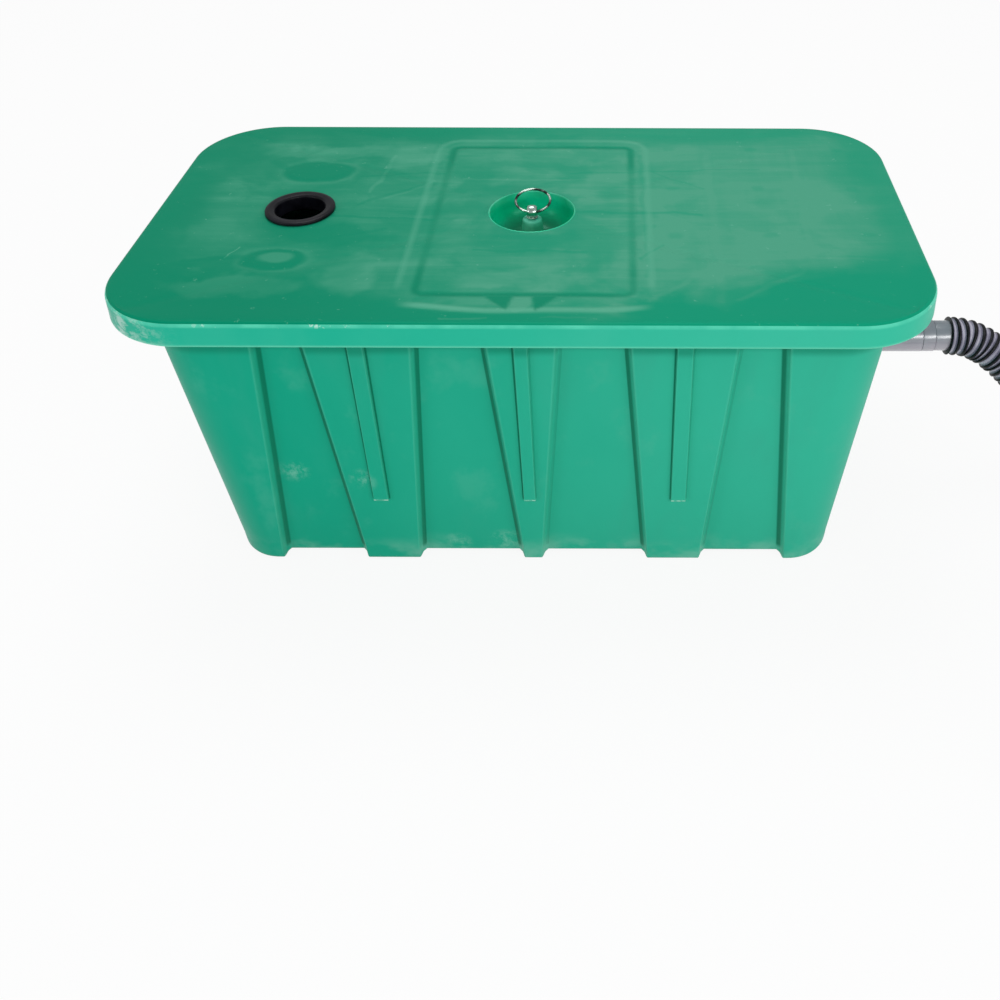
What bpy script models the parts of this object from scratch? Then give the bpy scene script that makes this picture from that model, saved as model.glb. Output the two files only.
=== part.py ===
"""Under-sink grease trap: a moulded tub with a lift-off lid, an inlet seal in the lid,
a pull ring in its pocket, a strainer basket, two baffles and a side outlet with a hose.

Metres, +Z up. The origin is at the centre of the underside. +X is the outlet end and -Y
is the front.
"""

import math

import bmesh
import bpy
from mathutils import Matrix, Vector

# Clearances, how far joined shapes sink into each other and cutters run past what they cut,
# and the distance below which two points are one
GAP = 0.0003
SLIP = 0.001
SINK = 0.003
OVERSHOOT = 0.010
MERGE = 0.000005

# Lid
LID_LENGTH = 0.600
LID_WIDTH = 0.324
LID_CORNER = 0.065
LID_TOP = 0.265
LID_SKIN = 0.004
SKIRT_HEIGHT = 0.020
SKIRT_WALL = 0.004
LID_EDGE_FILLET = 0.004
LID_RIB_HEIGHT = 0.006
LID_RIB_WIDTH = 0.003
LID_RIB_CLEARANCE = 0.012
LID_RIB_REACH = 0.86
PANEL_LEFT = -0.0805
PANEL_RIGHT = 0.0845
PANEL_FRONT = -0.128
PANEL_BACK = 0.122
PANEL_CORNER = 0.012
PANEL_GROOVE_WIDTH = 0.005
PANEL_GROOVE_DEPTH = 0.0012

# Pocket of the pull ring
POCKET_RADIUS = 0.0335
POCKET_DEPTH = 0.028
POCKET_FLAT_RADIUS = 0.015
POCKET_CURVE_HEIGHT = 0.020
POCKET_WALL = 0.003
POST_RADIUS = 0.0085
POST_FOOT_RADIUS = 0.0100
POST_DROP = 0.0065
POST_DOME = 0.002
POST_DOME_POINT = (0.86, 0.35)

# Inlet seal in the lid
INLET_X = -0.185
INLET_BORE_RADIUS = 0.0195
INLET_SEAL_RADIUS = 0.0275
INLET_SEAL_NECK = 0.0030
INLET_SEAL_LIP = 0.0030
INLET_SEAL_LOWER_RADIUS = 0.0265
INLET_RIB_CLEARANCE = 0.003
INLET_OUTER_BEAD = (0.35, 0.90)
INLET_INNER_BEAD = (0.50, 0.60)
INLET_EDGE = 0.50

# Lid seal
SEAL_HEIGHT = 0.005
SEAL_WIDTH = 0.009

# Tub
FLANGE_THICKNESS = 0.004
FLANGE_CLEARANCE = 0.004
BODY_LENGTH_TOP = 0.542
BODY_LENGTH_BOTTOM = 0.490
BODY_WIDTH_TOP = 0.287
BODY_WIDTH_BOTTOM = 0.236
BODY_CORNER_TOP = 0.040
BODY_CORNER_BOTTOM = 0.026
TUB_WALL = 0.004
TUB_FLOOR = 0.004
RECESS_DEPTH = 0.007
RECESS_SLOPE = 0.0045
WALL_FILLET = 0.0022
FOOT_HEIGHT = 0.003
FOOT_SET_IN = 0.006
BOTTOM_FILLET = 0.006
FLOOR_FILLET = 0.0036
BOTTOM_ROUND = ((0.80, 0.0), (0.25, 0.30))
SKID_CORNER_SET_IN = 0.0078

# Buttresses of the long walls, from the middle, and the corner blocks' lengths, at the top and foot
CENTRE_BUTTRESS = (0.0260, 0.0064)
OUTER_BUTTRESS_IN = (0.0775, 0.0945)
OUTER_BUTTRESS_OUT = (0.1560, 0.1355)
CORNER_BLOCK_LENGTH = (0.0800, 0.0380)

# Narrow ribs on the buttresses
RIB_END = 0.075
RIB_HEIGHT = 0.003
CENTRE_RIB_WIDTH = 0.0095
OUTER_RIB_WIDTH = 0.0110
OUTER_RIB_X = 0.117
RIB_CREST_SHARE = 0.8
RIB_TIP_SHARE = 0.7

# Raised pads and bosses of the end walls
PAD_HALF_WIDTH = (0.062, 0.054)
PAD_HEIGHT = 0.006
PAD_END = 0.100
PAD_SLOPE = 0.0042
BOSS_RADIUS = 0.030
BOSS_RISE = 0.0045
BOSS_STEP = 0.0014

# Outlet
OUTLET_Z = 0.145
PIPE_RADIUS = 0.0115
PIPE_BORE = 0.0095
BULKHEAD_RADIUS = 0.0165
BULKHEAD_FLANGE_RADIUS = 0.0245
BULKHEAD_FLANGE = 0.005
BULKHEAD_GASKET = 0.003
NUT_ACROSS = 0.050
NUT_THICKNESS = 0.012
BULKHEAD_STUB = 0.004
COUPLING_RADIUS = 0.0136
COUPLING_STAND_OFF = 0.0053
COUPLING_GRIP = 0.016
COUPLING_STOP = 0.003
COUPLING_LENGTH = 0.0345
SPIGOT_COLLAR_RADIUS = 0.0134
SPIGOT_COLLAR_LENGTH = 0.011
SPIGOT_RADIUS = 0.0129
SPIGOT_LENGTH = 0.0115
ELBOW_RADIUS = 0.0165
ELBOW_BEND = 0.020
ELBOW_RUN_OUT = 0.010
ELBOW_SHOULDER = 0.004
ELBOW_SOCKET = 0.016
DIP_END_Z = 0.050

# Hose
HOSE_DIAMETER = 0.0335
HOSE_POINT_SPACING = 0.75
HOSE_END_CUFF_RADIUS = 0.0158
HOSE_END_LIP_RADIUS = 0.0145
HOSE_END_CUFF_LENGTH = 0.040
HOSE_END_LIP_LENGTH = 0.018
HOSE_END_TAPER = 0.002
HOSE_END_BORE = 0.0125

# Baffles
BAFFLE_THICKNESS = 0.004
INLET_BAFFLE_X = -0.060
OUTLET_BAFFLE_X = 0.172
BAFFLE_TOP = 0.210
GUIDE_TOP = 0.200
GUIDE_FOOT = 0.030
GUIDE_WIDTH = 0.0035
GUIDE_REACH = 0.007
INLET_ARCH = (0.060, 0.050)
OUTLET_ARCH = (0.045, 0.030)

# Strainer basket
BASKET_CLEARANCE = 0.0058
BASKET_LENGTH = 0.136
BASKET_TAPER = 0.010
BASKET_DEPTH = 0.095
BASKET_WALL = 0.0025
BASKET_FLANGE = 0.010
BASKET_CORNER = 0.018
BASKET_CORNER_SHARE = 0.3
LEDGE_TOP = 0.202
LEDGE_THICKNESS = 0.006
LEDGE_WIDTH = 0.017
LEDGE_LENGTH = 0.130
SLOT_WIDTH = 0.006
SLOT_HEIGHT = 0.050
SLOT_PITCH = 0.018
SLOT_MARGIN = 0.015

# Pull ring and its eye
RING_RADIUS = 0.0139
RING_WIRE = 0.0011
RING_TILT = math.radians(13.5)
EYE_Y = 0.0
EYE_RADIUS = 0.0036
EYE_WIRE = 0.0015
EYE_LIFT = 0.0006
EYE_COLLAR_RADIUS = 0.0045
EYE_COLLAR = 0.0012
EYE_SHANK = 0.0030
WASHER_RADIUS = 0.0075
WASHER_THICKNESS = 0.0012
EYE_NUT_ACROSS = 0.010
EYE_NUT_HEIGHT = 0.005
SHANK_SPARE = 0.002

# Heights worked out from the sizes above
LID_UNDER = LID_TOP - LID_SKIN
SKIRT_END = LID_TOP - SKIRT_HEIGHT
SEAL_BOTTOM = LID_UNDER - GAP - SEAL_HEIGHT
FLANGE_TOP = SEAL_BOTTOM - GAP
BODY_TOP = FLANGE_TOP - FLANGE_THICKNESS
BODY_BOTTOM = FOOT_HEIGHT
FLOOR_TOP = BODY_BOTTOM + TUB_FLOOR
POST_TOP = LID_TOP - POST_DROP
POCKET_FLOOR = LID_TOP - POCKET_DEPTH
POCKET_UNDER = POCKET_FLOOR - POCKET_WALL
FLANGE_HALF_LENGTH = LID_LENGTH / 2 - SKIRT_WALL - FLANGE_CLEARANCE
FLANGE_HALF_WIDTH = LID_WIDTH / 2 - SKIRT_WALL - FLANGE_CLEARANCE
FLANGE_CORNER = LID_CORNER - SKIRT_WALL - FLANGE_CLEARANCE

def between(pair, level):
    """A value of a (top, foot) pair at a level from 0 at the body's top to 1 at its foot."""
    return pair[0] + (pair[1] - pair[0]) * level


def level_of(z):
    return (BODY_TOP - z) / (BODY_TOP - BODY_BOTTOM)


def half_length(z):
    return between((BODY_LENGTH_TOP / 2, BODY_LENGTH_BOTTOM / 2), level_of(z))


def half_width(z):
    return between((BODY_WIDTH_TOP / 2, BODY_WIDTH_BOTTOM / 2), level_of(z))


def material(name, colour, roughness, metallic=0.0):
    made = bpy.data.materials.new(name)
    made.use_nodes = True
    shader = made.node_tree.nodes["Principled BSDF"]
    shader.inputs["Base Color"].default_value = (*colour, 1.0)
    shader.inputs["Roughness"].default_value = roughness
    shader.inputs["Metallic"].default_value = metallic
    made.diffuse_color = (*colour, 1.0)
    return made


def finish(name, bm, look, smooth_angle=35.0):
    """Turns a bmesh into a named object with its material and smooth shading."""
    bmesh.ops.recalc_face_normals(bm, faces=bm.faces)
    mesh = bpy.data.meshes.new(name)
    bm.to_mesh(mesh)
    bm.free()
    mesh.materials.append(look)
    mesh.shade_smooth()
    mesh.set_sharp_from_angle(angle=math.radians(smooth_angle))
    made = bpy.data.objects.new(name, mesh)
    bpy.context.scene.collection.objects.link(made)
    return made


def combine(target, tool, operation):
    """Applies one Boolean to an object and removes the tool."""
    change = target.modifiers.new(operation, "BOOLEAN")
    change.operation = operation
    change.solver = "EXACT"
    change.object = tool
    bpy.context.view_layer.update()
    shaped = target.evaluated_get(bpy.context.evaluated_depsgraph_get())
    mesh = bpy.data.meshes.new_from_object(shaped)
    target.modifiers.remove(change)
    bm = bmesh.new()
    bm.from_mesh(mesh)
    bmesh.ops.remove_doubles(bm, verts=bm.verts, dist=MERGE)
    bmesh.ops.dissolve_degenerate(bm, edges=bm.edges, dist=MERGE)
    bmesh.ops.triangulate(bm, faces=[f for f in bm.faces if len(f.verts) > 4])
    bm.to_mesh(mesh)
    bm.free()
    old = target.data
    target.data = mesh
    mesh.name = target.name
    bpy.data.meshes.remove(old)
    bpy.data.objects.remove(tool)
    mesh.shade_smooth()
    mesh.set_sharp_from_angle(angle=math.radians(35.0))


def rounded_rectangle(half_x, half_y, radius, steps=6):
    """Points of a rounded rectangle, anticlockwise from above."""
    points = []
    for turn, (sx, sy) in enumerate(((1, -1), (1, 1), (-1, 1), (-1, -1))):
        centre = Vector((sx * (half_x - radius), sy * (half_y - radius)))
        for k in range(steps + 1):
            angle = math.radians(-90 + 90 * turn + 90 * k / steps)
            points.append(centre + radius * Vector((math.cos(angle), math.sin(angle))))
    return points


def inset(points, distance):
    """The outline moved inwards by a distance, corner by corner."""
    moved = []
    count = len(points)
    for k in range(count):
        before = (points[k] - points[k - 1]).normalized()
        after = (points[(k + 1) % count] - points[k]).normalized()
        normal_before = Vector((-before.y, before.x))
        normal_after = Vector((-after.y, after.x))
        middle = (normal_before + normal_after).normalized()
        moved.append(points[k] + middle * distance / max(0.4, middle.dot(normal_after)))
    return moved


def fillet(points, radius, steps=2):
    """An open line's inner corners, each replaced by a short arc."""
    rounded = []
    for before, corner, after in zip(points, points[1:], points[2:]):
        to_before = (before - corner).normalized()
        to_after = (after - corner).normalized()
        half = math.acos(max(-1.0, min(1.0, to_before.dot(to_after)))) / 2
        setback = radius / math.tan(half)
        start = corner + to_before * setback
        end = corner + to_after * setback
        for j in range(steps + 1):
            t = j / steps
            rounded.append(start * (1 - t) ** 2 + corner * 2 * t * (1 - t) + end * t**2)
    return rounded


def lifted(points, z):
    return [Vector((p.x, p.y, z)) for p in points]


def loft(bm, rings):
    """Skins a stack of rings with the same number of points and caps its two ends."""
    loops = [[bm.verts.new(p) for p in ring] for ring in rings]
    count = len(loops[0])
    for low, high in zip(loops, loops[1:]):
        for k in range(count):
            n = (k + 1) % count
            bm.faces.new((low[k], low[n], high[n], high[k]))
    bm.faces.new(list(reversed(loops[0])))
    bm.faces.new(loops[-1])


def prism(name, outline, low, high, look):
    bm = bmesh.new()
    loft(bm, [lifted(outline, low), lifted(outline, high)])
    return finish(name, bm, look)


def block(name, low, high, look):
    """A plain block between two corners."""
    x0, y0, z0 = low
    x1, y1, z1 = high
    outline = [Vector((x0, y0)), Vector((x1, y0)), Vector((x1, y1)), Vector((x0, y1))]
    return prism(name, outline, z0, z1, look)


def turned(name, profile, segments, look, centre=(0, 0, 0), axis="Z"):
    """A turned solid from a closed profile of (radius, height) points."""
    bm = bmesh.new()
    rows = []
    for radius, height in profile:
        if radius < 1e-7:
            rows.append([bm.verts.new((0, 0, height))])
            continue
        row = []
        for k in range(segments):
            angle = 2 * math.pi * k / segments
            row.append(bm.verts.new((radius * math.cos(angle), radius * math.sin(angle), height)))
        rows.append(row)
    for here, there in zip(rows, rows[1:] + rows[:1]):
        if len(here) == 1 and len(there) == 1:
            continue
        for k in range(segments):
            n = (k + 1) % segments
            if len(here) == 1:
                bm.faces.new((here[0], there[n], there[k]))
            elif len(there) == 1:
                bm.faces.new((here[k], here[n], there[0]))
            else:
                bm.faces.new((here[k], here[n], there[n], there[k]))
    if axis == "X":
        bm.transform(Matrix.Rotation(math.radians(90), 4, "Y"))
    bm.transform(Matrix.Translation(centre))
    return finish(name, bm, look)


def piped(name, stations, segments, look):
    """A hollow run through stations of (centre, direction, outer radius, inner radius)."""
    bm = bmesh.new()
    outer = []
    inner = []
    for centre, direction, outer_radius, inner_radius in stations:
        along = Vector(direction).normalized()
        up = along.cross(Vector((0, 1, 0))).normalized()
        side = up.cross(along)
        for rows, radius in ((outer, outer_radius), (inner, inner_radius)):
            row = []
            for k in range(segments):
                angle = 2 * math.pi * k / segments
                offset = side * math.cos(angle) + up * math.sin(angle)
                row.append(bm.verts.new(Vector(centre) + offset * radius))
            rows.append(row)
    rows = outer + inner[::-1]
    for here, there in zip(rows, rows[1:] + rows[:1]):
        for k in range(segments):
            n = (k + 1) % segments
            bm.faces.new((here[k], here[n], there[n], there[k]))
    return finish(name, bm, look)


def torus(name, major, minor, look, centre, tilt=None, major_steps=32, minor_steps=8):
    """A ring of round wire, flat in XY until the tilt matrix turns it."""
    bm = bmesh.new()
    rows = []
    for j in range(major_steps):
        around = 2 * math.pi * j / major_steps
        row = []
        for k in range(minor_steps):
            angle = 2 * math.pi * k / minor_steps
            radius = major + minor * math.cos(angle)
            row.append(
                bm.verts.new(
                    (radius * math.cos(around), radius * math.sin(around), minor * math.sin(angle))
                )
            )
        rows.append(row)
    for here, there in zip(rows, rows[1:] + rows[:1]):
        for k in range(minor_steps):
            n = (k + 1) % minor_steps
            bm.faces.new((here[k], there[k], there[n], here[n]))
    if tilt is not None:
        bm.transform(tilt)
    bm.transform(Matrix.Translation(centre))
    return finish(name, bm, look)


def hexagon(across, steps=6):
    radius = across / 2 / math.cos(math.pi / steps)
    return [
        Vector((math.cos(2 * math.pi * k / steps), math.sin(2 * math.pi * k / steps))) * radius
        for k in range(steps)
    ]


def wall_outline(z, inward=0.0):
    """The tub's outline at a height, with its buttresses, panels and corner blocks."""
    level = level_of(z)
    width = half_width(z) - inward
    length = half_length(z) - inward
    corner = between((BODY_CORNER_TOP, BODY_CORNER_BOTTOM), level) - inward
    shift = inward * math.tan(math.atan2(RECESS_DEPTH, RECESS_SLOPE) / 2)
    face = width
    root = width - RECESS_DEPTH
    block_start = half_length(z) - between(CORNER_BLOCK_LENGTH, level)
    right = [
        (between(CENTRE_BUTTRESS, level) - shift, face),
        (between(CENTRE_BUTTRESS, level) - shift + RECESS_SLOPE, root),
        (between(OUTER_BUTTRESS_IN, level) + shift - RECESS_SLOPE, root),
        (between(OUTER_BUTTRESS_IN, level) + shift, face),
        (between(OUTER_BUTTRESS_OUT, level) - shift, face),
        (between(OUTER_BUTTRESS_OUT, level) - shift + RECESS_SLOPE, root),
        (block_start + shift - RECESS_SLOPE, root),
        (block_start + shift, face),
    ]
    front = [Vector((-x, -y)) for x, y in reversed(right)] + [Vector((x, -y)) for x, y in right]
    back = [Vector((-p.x, -p.y)) for p in front]
    front = fillet([Vector((-length, -width))] + front + [Vector((length, -width))], WALL_FILLET)
    back = fillet([Vector((length, width))] + back + [Vector((-length, width))], WALL_FILLET)
    arcs = rounded_rectangle(length, width, corner)
    half = len(arcs) // 2
    return front + arcs[:half] + back + arcs[half:]


def sloped_bar(name, x0, x1, z0, z1, sink, reach, side, look):
    """A bar up the inside of a long wall's panel, as deep as its reach at every height."""
    rings = []
    for z in (z0, z1):
        inner = half_width(z) - RECESS_DEPTH - TUB_WALL
        near = side * (inner - reach)
        far = side * (inner + sink)
        corners = ((x0, near), (x1, near), (x1, far), (x0, far))
        rings.append([Vector((x, y, z)) for x, y in corners])
    bm = bmesh.new()
    loft(bm, rings)
    return finish(name, bm, look)


def wall_rib(name, x, width, side, look):
    """A narrow rib down a buttress, which runs out into its face at the lower end."""
    rings = []
    run_out = 2 * RIB_HEIGHT
    for z, proud in ((RIB_END - run_out, -SLIP), (RIB_END, RIB_HEIGHT), (BODY_TOP + SLIP, RIB_HEIGHT)):
        face = half_width(z)
        near = side * (face + proud)
        far = side * (face - SINK)
        half = width / 2 * (RIB_TIP_SHARE if z < RIB_END else 1.0)
        crest = half * RIB_CREST_SHARE
        rings.append(
            [
                Vector((x - half, far, z)),
                Vector((x + half, far, z)),
                Vector((x + crest, near, z)),
                Vector((x - crest, near, z)),
            ]
        )
    bm = bmesh.new()
    loft(bm, rings)
    return finish(name, bm, look)


def end_pad(name, side, look):
    """The raised pad of an end wall, chamfered at its sides and its lower edge."""
    rings = []
    for z, proud in (
        (PAD_END - PAD_HEIGHT, -SLIP),
        (PAD_END, PAD_HEIGHT),
        (BODY_TOP + SLIP, PAD_HEIGHT),
    ):
        level = level_of(z)
        half = between(PAD_HALF_WIDTH, level)
        wall = half_length(z)
        near = side * (wall + proud)
        far = side * (wall - SINK)
        rings.append(
            [
                Vector((far, -half - PAD_SLOPE, z)),
                Vector((near, -half, z)),
                Vector((near, half, z)),
                Vector((far, half + PAD_SLOPE, z)),
            ]
        )
    bm = bmesh.new()
    loft(bm, rings)
    return finish(name, bm, look)


# Places that several pieces share
BOSS_WALL_X = sorted((half_length(OUTLET_Z - BOSS_RADIUS), half_length(OUTLET_Z + BOSS_RADIUS)))
BOSS_FACE_X = BOSS_WALL_X[1] + PAD_HEIGHT + BOSS_STEP
BOSS_INNER_X = BOSS_WALL_X[0] - TUB_WALL - BOSS_STEP
STUB_END_X = BOSS_FACE_X + GAP + NUT_THICKNESS + BULKHEAD_STUB
COUPLING_START_X = STUB_END_X + COUPLING_STAND_OFF
COUPLING_END_X = COUPLING_START_X + COUPLING_LENGTH
PIPE_END_X = COUPLING_START_X + COUPLING_GRIP
SPIGOT_COLLAR_END_X = COUPLING_END_X + SPIGOT_COLLAR_LENGTH
HOSE_START_X = SPIGOT_COLLAR_END_X + SPIGOT_LENGTH
LEDGE_WALL_Y = half_width(LEDGE_TOP) - RECESS_DEPTH - TUB_WALL / 2
BASKET_WIDTH = 2 * (LEDGE_WALL_Y - LEDGE_WIDTH - SLIP)
BASKET_TOP = LEDGE_TOP + GAP + BASKET_WALL
BASKET_LOW = BASKET_TOP - BASKET_DEPTH
BASKET_ROOM = min(half_length(BASKET_LOW) + BASKET_TAPER, half_length(LEDGE_TOP) - BASKET_FLANGE)
BASKET_X = BASKET_LENGTH / 2 + BASKET_CLEARANCE + TUB_WALL - BASKET_ROOM

# The hose's route: straight out of the spigot, down to the floor and round to the front
HOSE_ROUTE = [
    (HOSE_START_X, 0.000, OUTLET_Z),
    (HOSE_START_X + 0.0160, 0.000, 0.1428),
    (HOSE_START_X + 0.0315, -0.002, 0.1365),
    (HOSE_START_X + 0.0465, -0.006, 0.1265),
    (HOSE_START_X + 0.0615, -0.012, 0.1135),
    (HOSE_START_X + 0.0765, -0.020, 0.0985),
    (HOSE_START_X + 0.0915, -0.030, 0.0825),
    (HOSE_START_X + 0.1065, -0.043, 0.0665),
    (HOSE_START_X + 0.1205, -0.059, 0.0515),
    (HOSE_START_X + 0.1330, -0.079, 0.0385),
    (HOSE_START_X + 0.1435, -0.102, 0.0280),
    (HOSE_START_X + 0.1510, -0.128, 0.0210),
    (HOSE_START_X + 0.1545, -0.156, 0.0176),
    (HOSE_START_X + 0.1540, -0.184, 0.0171),
    (HOSE_START_X + 0.1495, -0.212, 0.0171),
    (HOSE_START_X + 0.1410, -0.239, 0.0171),
    (HOSE_START_X + 0.1295, -0.263, 0.0171),
    (HOSE_START_X + 0.1140, -0.2855, 0.0171),
    (HOSE_START_X + 0.0950, -0.305, 0.0171),
    (HOSE_START_X + 0.0735, -0.3215, 0.0171),
    (HOSE_START_X + 0.0505, -0.336, 0.0171),
]


def make_tub(look):
    outer = [
        lifted(wall_outline(BODY_BOTTOM, BOTTOM_FILLET * inward), BODY_BOTTOM + BOTTOM_FILLET * up)
        for inward, up in BOTTOM_ROUND
    ]
    for z in (BODY_BOTTOM + BOTTOM_FILLET, BODY_TOP + FLANGE_THICKNESS / 2):
        outer.append(lifted(wall_outline(z), z))
    bm = bmesh.new()
    loft(bm, outer)
    tub = finish("tub", bm, look)

    flange = rounded_rectangle(FLANGE_HALF_LENGTH, FLANGE_HALF_WIDTH, FLANGE_CORNER, 8)
    combine(tub, prism("flange", flange, BODY_TOP, FLANGE_TOP, look), "UNION")
    for side in (-1, 1):
        combine(tub, end_pad("pad", side, look), "UNION")
        combine(tub, wall_rib("rib", 0.0, CENTRE_RIB_WIDTH, side, look), "UNION")
        for x in (-OUTER_RIB_X, OUTER_RIB_X):
            combine(tub, wall_rib("rib", x, OUTER_RIB_WIDTH, side, look), "UNION")

    foot_y = BODY_WIDTH_BOTTOM / 2 - FOOT_SET_IN
    corner_end = BODY_LENGTH_BOTTOM / 2 - FOOT_SET_IN
    skids = [(-CENTRE_BUTTRESS[1], CENTRE_BUTTRESS[1])]
    for side in (-1, 1):
        skids.append(sorted((side * OUTER_BUTTRESS_IN[1], side * OUTER_BUTTRESS_OUT[1])))
        block_start = BODY_LENGTH_BOTTOM / 2 - CORNER_BLOCK_LENGTH[1]
        skids.append(sorted((side * block_start, side * corner_end)))
    for low, high in skids:
        at_corner = max(abs(low), abs(high)) >= corner_end
        deep = foot_y - SKID_CORNER_SET_IN if at_corner else foot_y
        skid = block("skid", (low, -deep, 0.0), (high, deep, BODY_BOTTOM + TUB_FLOOR / 2), look)
        combine(tub, skid, "UNION")

    boss = turned(
        "boss",
        [
            (0.0, BOSS_FACE_X - BOSS_RISE * 2 - PAD_HEIGHT),
            (BOSS_RADIUS + BOSS_RISE, BOSS_FACE_X - BOSS_RISE * 2 - PAD_HEIGHT),
            (BOSS_RADIUS, BOSS_FACE_X),
            (0.0, BOSS_FACE_X),
        ],
        32,
        look,
        (0, 0, OUTLET_Z),
        "X",
    )
    combine(tub, boss, "UNION")

    cavity = []
    for z in (FLOOR_TOP, FLOOR_TOP + BOTTOM_FILLET, BODY_TOP, FLANGE_TOP + OVERSHOOT):
        extra = FLOOR_FILLET if z == FLOOR_TOP else 0.0
        at = min(z, BODY_TOP)
        cavity.append(lifted(wall_outline(at, TUB_WALL + extra), z))
    bm = bmesh.new()
    loft(bm, cavity)
    combine(tub, finish("cavity", bm, look), "DIFFERENCE")

    inner_boss = turned(
        "inner_boss",
        [
            (0.0, BOSS_INNER_X),
            (BOSS_RADIUS - BOSS_RISE, BOSS_INNER_X),
            (BOSS_RADIUS, BOSS_INNER_X + BOSS_RISE * 2 + TUB_WALL / 2),
            (0.0, BOSS_INNER_X + BOSS_RISE * 2 + TUB_WALL / 2),
        ],
        32,
        look,
        (0, 0, OUTLET_Z),
        "X",
    )
    combine(tub, inner_boss, "UNION")
    hole = turned(
        "hole",
        [
            (0.0, BOSS_INNER_X - OVERSHOOT),
            (BULKHEAD_RADIUS + GAP, BOSS_INNER_X - OVERSHOOT),
            (BULKHEAD_RADIUS + GAP, BOSS_FACE_X + OVERSHOOT),
            (0.0, BOSS_FACE_X + OVERSHOOT),
        ],
        32,
        look,
        (0, 0, OUTLET_Z),
        "X",
    )
    combine(tub, hole, "DIFFERENCE")

    slot = BAFFLE_THICKNESS / 2 + SLIP / 2
    for x in (INLET_BAFFLE_X, OUTLET_BAFFLE_X):
        for side in (-1, 1):
            for x0, x1 in ((x - slot - GUIDE_WIDTH, x - slot), (x + slot, x + slot + GUIDE_WIDTH)):
                guide = sloped_bar(
                    "guide", x0, x1, FLOOR_TOP + GUIDE_FOOT, GUIDE_TOP, 2 * SLIP, GUIDE_REACH, side, look
                )
                combine(tub, guide, "UNION")
    for side in (-1, 1):
        ends = sorted((side * (LEDGE_WALL_Y - LEDGE_WIDTH), side * LEDGE_WALL_Y))
        ledge = block(
            "ledge",
            (BASKET_X - LEDGE_LENGTH / 2, ends[0], LEDGE_TOP - LEDGE_THICKNESS),
            (BASKET_X + LEDGE_LENGTH / 2, ends[1], LEDGE_TOP),
            look,
        )
        combine(tub, ledge, "UNION")
    return tub


def pocket_profile(grow, top):
    """The bowl of the pocket as a closed profile, from its floor up to a flat top."""
    steps = 6
    low = POCKET_FLOOR - grow
    profile = [(0.0, low), (POCKET_FLAT_RADIUS, low)]
    width = POCKET_RADIUS + grow - POCKET_FLAT_RADIUS
    height = POCKET_CURVE_HEIGHT + grow
    for k in range(1, steps + 1):
        angle = math.radians(90 * k / steps)
        profile.append((POCKET_FLAT_RADIUS + width * math.sin(angle), low + height * (1 - math.cos(angle))))
    profile.append((POCKET_RADIUS + grow, top))
    profile.append((0.0, top))
    return profile


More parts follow.
